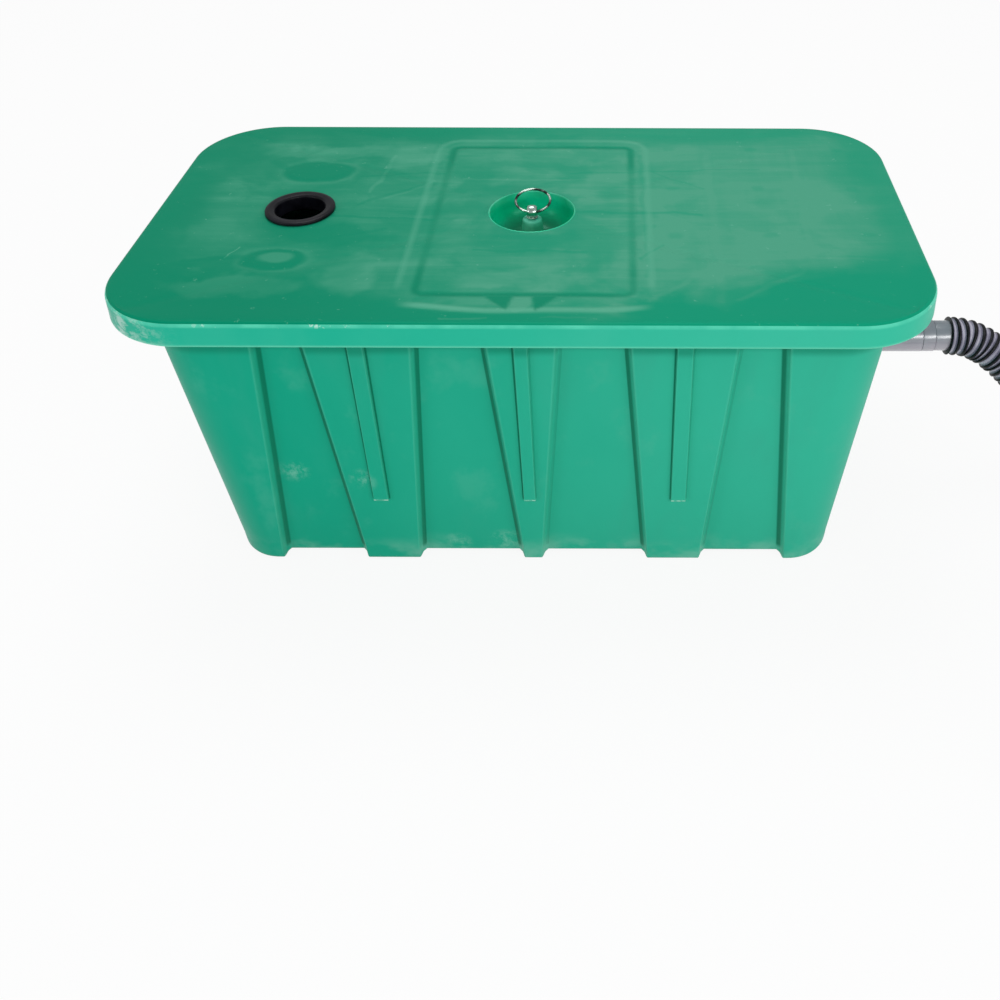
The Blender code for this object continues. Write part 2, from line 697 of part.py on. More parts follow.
def make_lid(look):
    half_x = LID_LENGTH / 2
    half_y = LID_WIDTH / 2
    rings = [lifted(rounded_rectangle(half_x, half_y, LID_CORNER, 10), SKIRT_END)]
    for k in range(4):
        angle = math.radians(90 * k / 3)
        drop = LID_EDGE_FILLET * (1 - math.cos(angle))
        z = LID_TOP - LID_EDGE_FILLET * (1 - math.sin(angle))
        outline = rounded_rectangle(half_x - drop, half_y - drop, LID_CORNER - drop, 10)
        rings.append(lifted(outline, z))
    bm = bmesh.new()
    loft(bm, rings)
    lid = finish("lid", bm, look)

    inside = rounded_rectangle(
        half_x - SKIRT_WALL, half_y - SKIRT_WALL, LID_CORNER - SKIRT_WALL, 10
    )
    combine(lid, prism("inside", inside, SKIRT_END - OVERSHOOT, LID_UNDER, look), "DIFFERENCE")

    reach_x = FLANGE_HALF_LENGTH - SEAL_WIDTH - LID_RIB_CLEARANCE
    reach_y = FLANGE_HALF_WIDTH - SEAL_WIDTH - LID_RIB_CLEARANCE
    for sy in (-1, 1):
        direction = Vector((reach_x, sy * reach_y)).normalized()
        across = Vector((-direction.y, direction.x)) * LID_RIB_WIDTH / 2
        end = Vector((reach_x, sy * reach_y)) * LID_RIB_REACH
        outline = [-end - across, end - across, end + across, -end + across]
        rib = prism("rib", outline, LID_UNDER - LID_RIB_HEIGHT, LID_UNDER + LID_SKIN / 2, look)
        combine(lid, rib, "UNION")

    bowl = turned("bowl", pocket_profile(POCKET_WALL, LID_UNDER + LID_SKIN / 2), 40, look)
    combine(lid, bowl, "UNION")
    combine(lid, turned("hollow", pocket_profile(0.0, LID_TOP + OVERSHOOT), 40, look), "DIFFERENCE")
    post = turned(
        "post",
        [
            (0.0, POCKET_FLOOR - POCKET_WALL / 2),
            (POST_FOOT_RADIUS, POCKET_FLOOR - POCKET_WALL / 2),
            (POST_RADIUS, POST_TOP - POST_DOME),
            (POST_RADIUS * POST_DOME_POINT[0], POST_TOP - POST_DOME * POST_DOME_POINT[1]),
            (EYE_COLLAR_RADIUS + SLIP, POST_TOP),
            (0.0, POST_TOP),
        ],
        32,
        look,
    )
    combine(lid, post, "UNION")
    bore = turned(
        "bore",
        [
            (0.0, POCKET_UNDER - OVERSHOOT),
            (EYE_SHANK + GAP, POCKET_UNDER - OVERSHOOT),
            (EYE_SHANK + GAP, POST_TOP + OVERSHOOT),
            (0.0, POST_TOP + OVERSHOOT),
        ],
        16,
        look,
        (0, EYE_Y, 0),
    )
    combine(lid, bore, "DIFFERENCE")

    clear = [
        (0.0, LID_UNDER - 2 * OVERSHOOT),
        (INLET_SEAL_LOWER_RADIUS + INLET_RIB_CLEARANCE, LID_UNDER - 2 * OVERSHOOT),
        (INLET_SEAL_LOWER_RADIUS + INLET_RIB_CLEARANCE, LID_UNDER),
        (INLET_BORE_RADIUS + INLET_SEAL_NECK + GAP, LID_UNDER),
        (INLET_BORE_RADIUS + INLET_SEAL_NECK + GAP, LID_TOP + OVERSHOOT),
        (0.0, LID_TOP + OVERSHOOT),
    ]
    combine(lid, turned("inlet_hole", clear, 40, look, (INLET_X, 0, 0)), "DIFFERENCE")

    middle = Vector(((PANEL_LEFT + PANEL_RIGHT) / 2, (PANEL_FRONT + PANEL_BACK) / 2))
    half_panel_x = (PANEL_RIGHT - PANEL_LEFT) / 2
    half_panel_y = (PANEL_BACK - PANEL_FRONT) / 2
    outer = [p + middle for p in rounded_rectangle(half_panel_x, half_panel_y, PANEL_CORNER, 4)]
    groove = prism("groove", outer, LID_TOP - PANEL_GROOVE_DEPTH, LID_TOP + SLIP, look)
    island = inset(outer, PANEL_GROOVE_WIDTH)
    combine(
        groove,
        prism("island", island, LID_TOP - OVERSHOOT, LID_TOP + OVERSHOOT, look),
        "DIFFERENCE",
    )
    combine(lid, groove, "DIFFERENCE")
    return lid


def make_lid_fittings(rubber, foam, steel):
    outer = rounded_rectangle(
        FLANGE_HALF_LENGTH - SLIP, FLANGE_HALF_WIDTH - SLIP, FLANGE_CORNER - SLIP, 8
    )
    seal = prism("lid_seal", outer, SEAL_BOTTOM, SEAL_BOTTOM + SEAL_HEIGHT, foam)
    inner = inset(outer, SEAL_WIDTH)
    tool = prism("seal_hole", inner, SEAL_BOTTOM - SLIP, SEAL_BOTTOM + SEAL_HEIGHT + SLIP, foam)
    combine(seal, tool, "DIFFERENCE")

    neck = INLET_BORE_RADIUS + INLET_SEAL_NECK
    lip = INLET_SEAL_LIP
    turned(
        "inlet_seal",
        [
            (INLET_BORE_RADIUS, LID_UNDER - lip * 2),
            (neck, LID_UNDER - lip * 2),
            (INLET_SEAL_LOWER_RADIUS, LID_UNDER - lip),
            (INLET_SEAL_LOWER_RADIUS, LID_UNDER - GAP),
            (neck, LID_UNDER - GAP),
            (neck, LID_TOP + GAP),
            (INLET_SEAL_RADIUS, LID_TOP + GAP),
            (INLET_SEAL_RADIUS, LID_TOP + lip * INLET_EDGE),
            (INLET_SEAL_RADIUS - lip * INLET_OUTER_BEAD[0], LID_TOP + lip * INLET_OUTER_BEAD[1]),
            (INLET_SEAL_RADIUS - lip, LID_TOP + lip),
            (INLET_BORE_RADIUS + lip * INLET_INNER_BEAD[0], LID_TOP + lip),
            (INLET_BORE_RADIUS, LID_TOP + lip * INLET_INNER_BEAD[1]),
        ],
        40,
        rubber,
        (INLET_X, 0, 0),
    )

    collar_low = POST_TOP + GAP
    collar_top = collar_low + EYE_COLLAR
    washer_top = POCKET_UNDER - GAP
    nut_top = washer_top - WASHER_THICKNESS - GAP
    shank_low = nut_top - EYE_NUT_HEIGHT - SHANK_SPARE
    eye = turned(
        "eye_bolt",
        [
            (0.0, shank_low),
            (EYE_SHANK, shank_low),
            (EYE_SHANK, collar_low),
            (EYE_COLLAR_RADIUS, collar_low),
            (EYE_COLLAR_RADIUS, collar_top),
            (EYE_WIRE, collar_top + EYE_WIRE),
            (0.0, collar_top + EYE_WIRE),
        ],
        16,
        steel,
        (0, EYE_Y, 0),
    )
    eye_z = collar_top + EYE_RADIUS + EYE_LIFT
    loop = torus(
        "loop",
        EYE_RADIUS,
        EYE_WIRE,
        steel,
        (0, EYE_Y, eye_z),
        Matrix.Rotation(math.radians(90), 4, "Y"),
        20,
        8,
    )
    combine(eye, loop, "UNION")

    for name, outline, low, high in (
        ("eye_nut", hexagon(EYE_NUT_ACROSS), nut_top - EYE_NUT_HEIGHT, nut_top),
        (
            "eye_washer",
            [p * (WASHER_RADIUS / (EYE_NUT_ACROSS / 2)) for p in hexagon(EYE_NUT_ACROSS, 24)],
            washer_top - WASHER_THICKNESS,
            washer_top,
        ),
    ):
        piece = prism(name, [p + Vector((0, EYE_Y)) for p in outline], low, high, steel)
        hole = turned(
            "hole",
            [
                (0.0, low - SLIP),
                (EYE_SHANK + GAP, low - SLIP),
                (EYE_SHANK + GAP, high + SLIP),
                (0.0, high + SLIP),
            ],
            16,
            steel,
            (0, EYE_Y, 0),
        )
        combine(piece, hole, "DIFFERENCE")

    ring = torus(
        "pull_ring",
        RING_RADIUS,
        RING_WIRE,
        steel,
        (0, RING_RADIUS, 0),
        None,
        36,
        8,
    )
    slack = EYE_RADIUS - EYE_WIRE - RING_WIRE - GAP
    ring.location = (0, EYE_Y, eye_z - slack)
    ring.rotation_euler = (RING_TILT, 0, 0)


def make_baffle(name, x, arch, look):
    """A plate in the guides, cut by an arch at its foot that lets the water through."""
    low = FLOOR_TOP + GAP
    half_low = half_width(low) - RECESS_DEPTH - TUB_WALL - SLIP
    half_high = half_width(BAFFLE_TOP) - RECESS_DEPTH - TUB_WALL - SLIP
    arch_half, arch_height = arch
    corner = arch_height / 3
    outline = [(-half_low + BOTTOM_FILLET, low), (-arch_half, low), (-arch_half, low + arch_height - corner)]
    outline.append((-arch_half + corner, low + arch_height))
    outline.append((arch_half - corner, low + arch_height))
    outline += [(arch_half, low + arch_height - corner), (arch_half, low), (half_low - BOTTOM_FILLET, low)]
    outline += [(half_low, low + 2 * BOTTOM_FILLET), (half_high, BAFFLE_TOP), (-half_high, BAFFLE_TOP)]
    outline.append((-half_low, low + 2 * BOTTOM_FILLET))
    bm = bmesh.new()
    rings = []
    for side in (-1, 1):
        rings.append([Vector((x + side * BAFFLE_THICKNESS / 2, y, z)) for y, z in outline])
    loft(bm, rings)
    return finish(name, bm, look)


def make_basket(look):
    top = BASKET_TOP
    flange_low = top - BASKET_WALL
    low = BASKET_LOW
    centre = Vector((BASKET_X, 0))
    half_x = BASKET_LENGTH / 2
    half_y = BASKET_WIDTH / 2

    def outline(shrink):
        corner = BASKET_CORNER - shrink * BASKET_CORNER_SHARE
        return [p + centre for p in rounded_rectangle(half_x - shrink, half_y - shrink, corner, 4)]

    bm = bmesh.new()
    loft(bm, [lifted(outline(BASKET_TAPER), low), lifted(outline(0.0), top)])
    basket = finish("strainer_basket", bm, look)
    rim = prism("rim", outline(-BASKET_FLANGE), flange_low, top, look)
    combine(basket, rim, "UNION")
    bm = bmesh.new()
    loft(
        bm,
        [
            lifted(outline(BASKET_TAPER + BASKET_WALL), low + BASKET_WALL),
            lifted(outline(BASKET_WALL), top),
            lifted(outline(BASKET_WALL), top + SLIP),
        ],
    )
    combine(basket, finish("inside", bm, look), "DIFFERENCE")

    slot_low = low + SLOT_MARGIN
    for k in range(-4, 5):
        y = k * SLOT_PITCH
        low_corner = (BASKET_X - BASKET_LENGTH, y - SLOT_WIDTH / 2, slot_low)
        high_corner = (BASKET_X + BASKET_LENGTH, y + SLOT_WIDTH / 2, slot_low + SLOT_HEIGHT)
        combine(basket, block("slot", low_corner, high_corner, look), "DIFFERENCE")
    for k in range(-2, 3):
        x = BASKET_X + k * SLOT_PITCH
        low_corner = (x - SLOT_WIDTH / 2, -BASKET_WIDTH, slot_low)
        high_corner = (x + SLOT_WIDTH / 2, BASKET_WIDTH, slot_low + SLOT_HEIGHT)
        combine(basket, block("slot", low_corner, high_corner, look), "DIFFERENCE")
        for side in (-1, 1):
            ends = sorted((side * SLOT_PITCH / 2, side * (half_y - BASKET_TAPER - SLOT_MARGIN)))
            low_corner = (x - SLOT_WIDTH / 2, ends[0], low - SLIP)
            high_corner = (x + SLOT_WIDTH / 2, ends[1], low + 2 * BASKET_WALL)
            combine(basket, block("slot", low_corner, high_corner, look), "DIFFERENCE")
    return basket


def make_outlet(dark, grey, rubber):
    flange_out = BOSS_INNER_X - GAP - BULKHEAD_GASKET - GAP
    flange_in = flange_out - BULKHEAD_FLANGE
    nut_in = BOSS_FACE_X + GAP
    nut_out = nut_in + NUT_THICKNESS
    socket = PIPE_RADIUS + GAP
    forward = (1, 0, 0)

    def on_axis(x):
        return (x, 0, OUTLET_Z)

    piped(
        "bulkhead_fitting",
        [
            (on_axis(flange_in), forward, BULKHEAD_FLANGE_RADIUS, socket),
            (on_axis(flange_out), forward, BULKHEAD_FLANGE_RADIUS, socket),
            (on_axis(flange_out), forward, BULKHEAD_RADIUS, socket),
            (on_axis(STUB_END_X), forward, BULKHEAD_RADIUS, socket),
        ],
        32,
        dark,
    )
    piped(
        "bulkhead_gasket",
        [
            (on_axis(flange_out + GAP), forward, BULKHEAD_FLANGE_RADIUS, BULKHEAD_RADIUS + GAP),
            (on_axis(BOSS_INNER_X - GAP), forward, BULKHEAD_FLANGE_RADIUS, BULKHEAD_RADIUS + GAP),
        ],
        32,
        rubber,
    )
    nut = hexagon(NUT_ACROSS)
    bm = bmesh.new()
    rings = []
    for x in (nut_in, nut_out):
        rings.append([Vector((x, p.x, OUTLET_Z + p.y)) for p in nut])
    loft(bm, rings)
    nut = finish("bulkhead_nut", bm, dark)
    hole = turned(
        "hole",
        [
            (0.0, nut_in - SLIP),
            (BULKHEAD_RADIUS + GAP, nut_in - SLIP),
            (BULKHEAD_RADIUS + GAP, nut_out + SLIP),
            (0.0, nut_out + SLIP),
        ],
        32,
        dark,
        (0, 0, OUTLET_Z),
        "X",
    )
    combine(nut, hole, "DIFFERENCE")

    middle = (flange_in + STUB_END_X) / 2
    piped(
        "outlet_pipe",
        [
            (on_axis(middle), forward, PIPE_RADIUS, PIPE_BORE),
            (on_axis(PIPE_END_X), forward, PIPE_RADIUS, PIPE_BORE),
        ],
        24,
        grey,
    )
    stop_start = PIPE_END_X + GAP
    stop_end = stop_start + COUPLING_STOP
    piped(
        "pipe_coupling",
        [
            (on_axis(COUPLING_START_X), forward, COUPLING_RADIUS, socket),
            (on_axis(stop_start), forward, COUPLING_RADIUS, socket),
            (on_axis(stop_start), forward, COUPLING_RADIUS, PIPE_BORE),
            (on_axis(stop_end), forward, COUPLING_RADIUS, PIPE_BORE),
            (on_axis(stop_end), forward, COUPLING_RADIUS, socket),
            (on_axis(COUPLING_END_X), forward, COUPLING_RADIUS, socket),
        ],
        24,
        grey,
    )
    # The spigot's tail is in the coupling, and its end is square to the hose's first stretch.
    route = smooth_route(HOSE_ROUTE, HOSE_DIAMETER * HOSE_POINT_SPACING)
    slope = (route[1] - route[0]).normalized()
    piped(
        "hose_spigot",
        [
            (on_axis(stop_end + GAP), forward, PIPE_RADIUS, PIPE_BORE),
            (on_axis(COUPLING_END_X + GAP), forward, PIPE_RADIUS, PIPE_BORE),
            (on_axis(COUPLING_END_X + GAP), forward, SPIGOT_COLLAR_RADIUS, PIPE_BORE),
            (on_axis(SPIGOT_COLLAR_END_X), forward, SPIGOT_COLLAR_RADIUS, PIPE_BORE),
            (on_axis(SPIGOT_COLLAR_END_X), forward, SPIGOT_RADIUS, PIPE_BORE),
            (route[0] - slope * GAP, slope, SPIGOT_RADIUS, PIPE_BORE),
        ],
        24,
        grey,
    )

    # The elbow's spigot goes into the fitting, and its leg looks down to the dip pipe.
    spigot_start = middle - GAP
    bend_x = flange_in - SLIP - ELBOW_RADIUS
    stations = [
        (on_axis(spigot_start), (-1, 0, 0), PIPE_RADIUS, PIPE_BORE),
        (on_axis(flange_in - GAP), (-1, 0, 0), PIPE_RADIUS, PIPE_BORE),
        (on_axis(flange_in - GAP), (-1, 0, 0), ELBOW_RADIUS, PIPE_BORE),
    ]
    bend_start = Vector((bend_x + ELBOW_RUN_OUT, 0, OUTLET_Z))
    steps = 6
    for k in range(steps + 1):
        angle = math.radians(90 * k / steps)
        centre = bend_start + ELBOW_BEND * Vector((-math.sin(angle), 0, math.cos(angle) - 1))
        stations.append((centre, (-math.cos(angle), 0, -math.sin(angle)), ELBOW_RADIUS, PIPE_BORE))
    leg = stations[-1][0]
    down = (0, 0, -1)
    shoulder = leg.z - ELBOW_SHOULDER
    mouth = shoulder - ELBOW_SOCKET
    stations.append(((leg.x, 0, shoulder), down, ELBOW_RADIUS, PIPE_BORE))
    stations.append(((leg.x, 0, shoulder), down, ELBOW_RADIUS, socket))
    stations.append(((leg.x, 0, mouth), down, ELBOW_RADIUS, socket))
    piped("outlet_elbow", stations, 24, dark)
    piped(
        "dip_pipe",
        [
            ((leg.x, 0, shoulder - GAP), down, PIPE_RADIUS, PIPE_BORE),
            ((leg.x, 0, DIP_END_Z), down, PIPE_RADIUS, PIPE_BORE),
        ],
        24,
        grey,
    )


def smooth_route(points, spacing):
    """Evenly spaced points along a Catmull-Rom curve through the route's own points."""
    fine = []
    nodes = [Vector(p) for p in points]
    nodes = [nodes[0] * 2 - nodes[1]] + nodes + [nodes[-1] * 2 - nodes[-2]]
    steps = 12
    for a, b, c, d in zip(nodes, nodes[1:], nodes[2:], nodes[3:]):
        for k in range(steps):
            t = k / steps
            fine.append(
                0.5
                * (2 * b + (c - a) * t + (2 * a - 5 * b + 4 * c - d) * t**2 + (3 * b - a - 3 * c + d) * t**3)
            )
    fine.append(nodes[-2])
    lengths = [0.0]
    for a, b in zip(fine, fine[1:]):
        lengths.append(lengths[-1] + (b - a).length)
    count = max(2, round(lengths[-1] / spacing))
    even = []
    at = 0
    for k in range(count + 1):
        wanted = lengths[-1] * k / count
        while at < len(lengths) - 2 and lengths[at + 1] < wanted:
            at += 1
        share = (wanted - lengths[at]) / (lengths[at + 1] - lengths[at])
        even.append(fine[at].lerp(fine[at + 1], share))
    return even


def make_hose(look, dark):
    route = smooth_route(HOSE_ROUTE, HOSE_DIAMETER * HOSE_POINT_SPACING)
    curve = bpy.data.curves.new("drain_hose", "CURVE")
    curve.dimensions = "3D"
    curve.bevel_depth = HOSE_DIAMETER / 2
    curve.bevel_resolution = 3
    curve.use_fill_caps = True
    line = curve.splines.new("POLY")
    line.points.add(len(route) - 1)
    for point, place in zip(line.points, route):
        point.co = (*place, 1.0)
    curve.materials.append(look)
    hose = bpy.data.objects.new("drain_hose", curve)
    bpy.context.scene.collection.objects.link(hose)

    out = (route[-1] - route[-2]).normalized()
    side = Vector((-out.y, out.x, 0)).normalized()
    up = out.cross(side)
    start = route[-1] + out * GAP
    bm = bmesh.new()
    rows = []
    segments = 24
    for radius, along in (
        (HOSE_END_CUFF_RADIUS, 0.0),
        (HOSE_END_CUFF_RADIUS, HOSE_END_CUFF_LENGTH - HOSE_END_LIP_LENGTH - HOSE_END_TAPER),
        (HOSE_END_LIP_RADIUS, HOSE_END_CUFF_LENGTH - HOSE_END_LIP_LENGTH),
        (HOSE_END_LIP_RADIUS, HOSE_END_CUFF_LENGTH),
        (HOSE_END_BORE, HOSE_END_CUFF_LENGTH),
        (HOSE_END_BORE, 0.0),
    ):
        row = []
        for k in range(segments):
            angle = 2 * math.pi * k / segments
            offset = side * math.cos(angle) + up * math.sin(angle)
            row.append(bm.verts.new(start + out * along + offset * radius))
        rows.append(row)
    for here, there in zip(rows, rows[1:] + rows[:1]):
        for k in range(segments):
            n = (k + 1) % segments
            bm.faces.new((here[k], here[n], there[n], there[k]))
    finish("hose_end_cuff", bm, dark)


def main():
    for old in list(bpy.data.objects):
        bpy.data.objects.remove(old)
    green = material("tub_green", (0.020, 0.370, 0.240), 0.45)
    lid_green = material("lid_green", (0.022, 0.310, 0.180), 0.42)
    black = material("rubber_black", (0.012, 0.012, 0.014), 0.6)
    foam = material("seal_foam", (0.05, 0.05, 0.055), 0.9)
    steel = material("steel", (0.62, 0.62, 0.60), 0.25, 1.0)
    grey = material("pipe_grey", (0.32, 0.32, 0.36), 0.4)
    dark = material("fitting_dark", (0.045, 0.048, 0.055), 0.45)
    hose = material("hose_grey", (0.30, 0.30, 0.36), 0.5)
    basket = material("basket_green", (0.018, 0.280, 0.170), 0.5)
    plate = material("baffle_green", (0.018, 0.300, 0.190), 0.5)

    make_tub(green)
    make_lid(lid_green)
    make_lid_fittings(black, foam, steel)
    make_baffle("inlet_baffle", INLET_BAFFLE_X, INLET_ARCH, plate)
    make_baffle("outlet_baffle", OUTLET_BAFFLE_X, OUTLET_ARCH, plate)
    make_basket(basket)
    make_outlet(dark, grey, black)
    make_hose(hose, dark)


main()
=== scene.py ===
"""The looks of an under-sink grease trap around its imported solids."""
import math
import random

import bmesh
import bpy
import numpy as np
from mathutils import Matrix, Vector
from mathutils.geometry import delaunay_2d_cdt


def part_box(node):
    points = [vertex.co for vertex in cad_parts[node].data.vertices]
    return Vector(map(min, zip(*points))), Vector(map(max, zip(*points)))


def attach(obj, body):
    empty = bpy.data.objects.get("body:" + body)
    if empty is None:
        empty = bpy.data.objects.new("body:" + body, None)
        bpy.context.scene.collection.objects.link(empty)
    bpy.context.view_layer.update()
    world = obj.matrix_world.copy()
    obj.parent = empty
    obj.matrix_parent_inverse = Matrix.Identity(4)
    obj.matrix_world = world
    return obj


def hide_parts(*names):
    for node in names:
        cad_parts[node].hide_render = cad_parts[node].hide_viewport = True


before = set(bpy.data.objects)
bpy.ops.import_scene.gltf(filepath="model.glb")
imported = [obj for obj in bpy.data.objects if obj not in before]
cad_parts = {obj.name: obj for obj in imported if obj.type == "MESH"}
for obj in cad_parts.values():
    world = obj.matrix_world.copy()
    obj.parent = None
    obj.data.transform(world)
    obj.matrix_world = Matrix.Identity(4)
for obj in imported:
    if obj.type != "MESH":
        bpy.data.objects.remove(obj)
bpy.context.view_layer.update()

# Camera: fitted to the photograph's 1000 x 1000 frame, in that frame's pixels
FRAME_PX = 1000.0
FOCAL_PX = 1147.16
CENTRE_X_PX = 620.0
CENTRE_Y_PX = 250.0
CAMERA_AT = Vector((0.06869, -0.80586, 0.70414))
CAMERA_PITCH = math.radians(30.55)
CAMERA_ROLL = math.radians(0.26)
CAMERA_YAW = math.radians(-0.13)
SENSOR = 36.0

# Sizes of the solids, in metres, that the looks follow
GAP = 0.0003
LID_HALF_X = 0.300
LID_HALF_Y = 0.162
LID_CORNER = 0.065
LID_TOP = 0.265
LID_UNDER = 0.261
SKIRT_END = 0.245
SKIRT_WALL = 0.004
LID_FILLET = 0.004
PANEL = (-0.0805, 0.0845, -0.128, 0.122)
PANEL_CORNER = 0.012
GROOVE_WIDTH = 0.0095
GROOVE_DEPTH = 0.0004
POCKET_RADIUS = 0.0335
POCKET_FLOOR = 0.237
POCKET_FLAT_RADIUS = 0.015
POCKET_CURVE_HEIGHT = 0.020
POCKET_WALL = 0.003
POST_RADIUS = 0.0078
POST_FOOT_RADIUS = 0.0100
POST_TOP = 0.2585
INLET_X = -0.185
INLET_HOLE = 0.0228
INLET_BORE = 0.0195
BODY_TOP = 0.2514
BODY_BOTTOM = 0.003
FLANGE_TOP = 0.2554
FLOOR_TOP = 0.007
TUB_WALL = 0.004
RECESS = 0.007
SLOPE = 0.0045
FLANGE_HALF_X = 0.292
FLANGE_HALF_Y = 0.154
FLANGE_CORNER = 0.057
OUTLET_Z = 0.145
BOSS_RADIUS = 0.030
BOSS_RISE = 0.0045
BOSS_STEP = 0.0014
PAD_HEIGHT = 0.006
PAD_END = 0.100


def between(pair, level):
    return pair[0] + (pair[1] - pair[0]) * level


def level_of(z):
    """0 at the top of the tub's body, 1 at its foot."""
    return (BODY_TOP - z) / (BODY_TOP - BODY_BOTTOM)


def smooth(t):
    t = np.clip(t, 0.0, 1.0)
    return t * t * (3 - 2 * t)


def quarter(steps, first=1):
    """The sine and 1 minus the cosine at steps along a quarter turn, for a rounded edge."""
    angles = [math.radians(90 * k / steps) for k in range(first, steps + 1)]
    return [(math.sin(angle), 1 - math.cos(angle)) for angle in angles]


def half_length(z):
    return between((0.271, 0.245), level_of(z))


def half_width(z):
    return between((0.1435, 0.118), level_of(z))


BOSS_FACE_X = half_length(OUTLET_Z + BOSS_RADIUS) + PAD_HEIGHT + BOSS_STEP


# Materials
def srgb(r, g, b):
    """A colour written as 0 to 255 screen values, as linear light."""
    def one(value):
        v = value / 255
        return v / 12.92 if v <= 0.04045 else ((v + 0.055) / 1.055) ** 2.4
    return (one(r), one(g), one(b), 1.0)


GREEN_SHEEN = (0.30, 0.85, 0.68, 1.0)


class Nodes:
    """Short names for building one material's node tree; colour is what it has so far."""

    def __init__(self, name):
        self.material = bpy.data.materials.new(name)
        self.material.use_nodes = True
        self.tree = self.material.node_tree
        self.place = self.node("TexCoord").outputs["Object"]
        self.marks_place = self.place
        self.colour = None

    def link(self, value, socket):
        if isinstance(value, bpy.types.NodeSocket):
            self.tree.links.new(value, socket)
        else:
            socket.default_value = value

    def fill(self, node, named):
        """Gives a node's inputs their values, by names with _ for a space."""
        for name, value in named.items():
            self.link(value, node.inputs[name.replace("_", " ")])

    def node(self, kind, *numbered, **named):
        node = self.tree.nodes.new("ShaderNode" + kind)
        for value, socket in zip(numbered, node.inputs):
            self.link(value, socket)
        self.fill(node, named)
        return node

    def math(self, kind, *values, clamp=False):
        node = self.node("Math", *values)
        node.operation = kind
        node.use_clamp = clamp
        return node.outputs[0]

    def vector(self, kind, *values, output="Vector"):
        node = self.node("VectorMath", *values)
        node.operation = kind
        return node.outputs[output]

    def times(self, *values, clamp=False):
        product = values[0]
        for value in values[1:]:
            product = self.math("MULTIPLY", product, value, clamp=clamp)
        return product

    def plus(self, a, b, clamp=False):
        return self.math("ADD", a, b, clamp=clamp)

    def minus(self, a, b):
        return self.math("SUBTRACT", a, b)

    def rest(self, value):
        return self.minus(1.0, value)

    def noise(self, scale, detail=4.0, stretch=(1, 1, 1), roughness=0.5, shift=(0, 0, 0), turn=0.0,
              warp=0.0):
        mapping = self.node("Mapping", Vector=self.place, Scale=stretch, Location=shift,
                            Rotation=(0, 0, turn))
        node = self.node("TexNoise", Vector=mapping.outputs[0], Scale=scale, Detail=detail,
                         Roughness=roughness, Distortion=warp)
        return node.outputs["Fac"]

    def ramp(self, value, low, high, out_low=0.0, out_high=1.0):
        node = self.node("MapRange", Value=value, From_Min=low, From_Max=high, To_Min=out_low,
                         To_Max=out_high)
        node.interpolation_type = "SMOOTHSTEP"
        return node.outputs["Result"]

    def axis(self, name):
        return self.node("SeparateXYZ", self.place).outputs[name]

    def attribute(self, name):
        node = self.node("Attribute")
        node.attribute_name = name
        return node.outputs["Fac"]

    def near(self, place, inner, outer, share=1.0):
        """A share close to a place, fading to 0 between two distances."""
        away = self.vector("DISTANCE", self.place, Vector(place), output="Value")
        return self.ramp(away, inner, outer, share, 0.0)

    def segment(self, a, b):
        """How far a place on the lid's upper face lies from the line between two places."""
        start = Vector((*a, LID_TOP))
        along = Vector((*b, LID_TOP)) - start
        away = self.vector("SUBTRACT", self.marks_place, start)
        share = self.vector("DOT_PRODUCT", away, along / along.length_squared, output="Value")
        share = self.plus(share, 0.0, True)
        nearest = self.node("VectorMath", along)
        nearest.operation = "SCALE"
        self.link(share, nearest.inputs["Scale"])
        return self.vector("DISTANCE", away, nearest.outputs["Vector"], output="Value")

    def pushed(self, scale, reach):
        """The place, pushed about by a noise, which gives marks their uneven edges."""
        noise = self.node("TexNoise", Vector=self.place, Scale=scale, Detail=4.0)
        away = self.vector("SUBTRACT", noise.outputs["Color"], Vector((0.5, 0.5, 0.5)))
        return self.vector("ADD", self.place, self.vector("MULTIPLY", away, Vector((reach, reach, 0))))

    def oval(self, centre, radii, soft=0.26):
        """1 inside an oval on the lid's upper face, fading to 0 at its edge."""
        away = self.vector("SUBTRACT", self.marks_place, Vector((*centre, LID_TOP)))
        scaled = self.vector("MULTIPLY", away, Vector((1 / radii[0], 1 / radii[1], 0)))
        length = self.vector("LENGTH", scaled, output="Value")
        return self.ramp(length, 0.88 - soft, 0.88 + soft, 1.0, 0.0)

    def mix(self, factor, a, b):
        node = self.node("Mix", factor)
        node.data_type = "RGBA"
        self.link(a, node.inputs[6])
        self.link(b, node.inputs[7])
        return node.outputs[2]

    def base(self, factor, first, second):
        """Starts the colour with a mix of two screen colours."""
        self.colour = self.mix(factor, srgb(*first), srgb(*second))

    def tint(self, factor, *screen):
        """Lays a screen colour over the colour so far."""
        self.colour = self.mix(factor, self.colour, srgb(*screen))

    def finish(self, roughness, height=None, strength=0.0, distance=0.0, **values):
        if height is not None:
            bump = self.node("Bump", Height=height, Strength=strength, Distance=distance)
            values["Normal"] = bump.outputs["Normal"]
        shader = self.tree.nodes["Principled BSDF"]
        self.fill(shader, {"Base_Color": self.colour, "Roughness": roughness, **values})
        return self.material


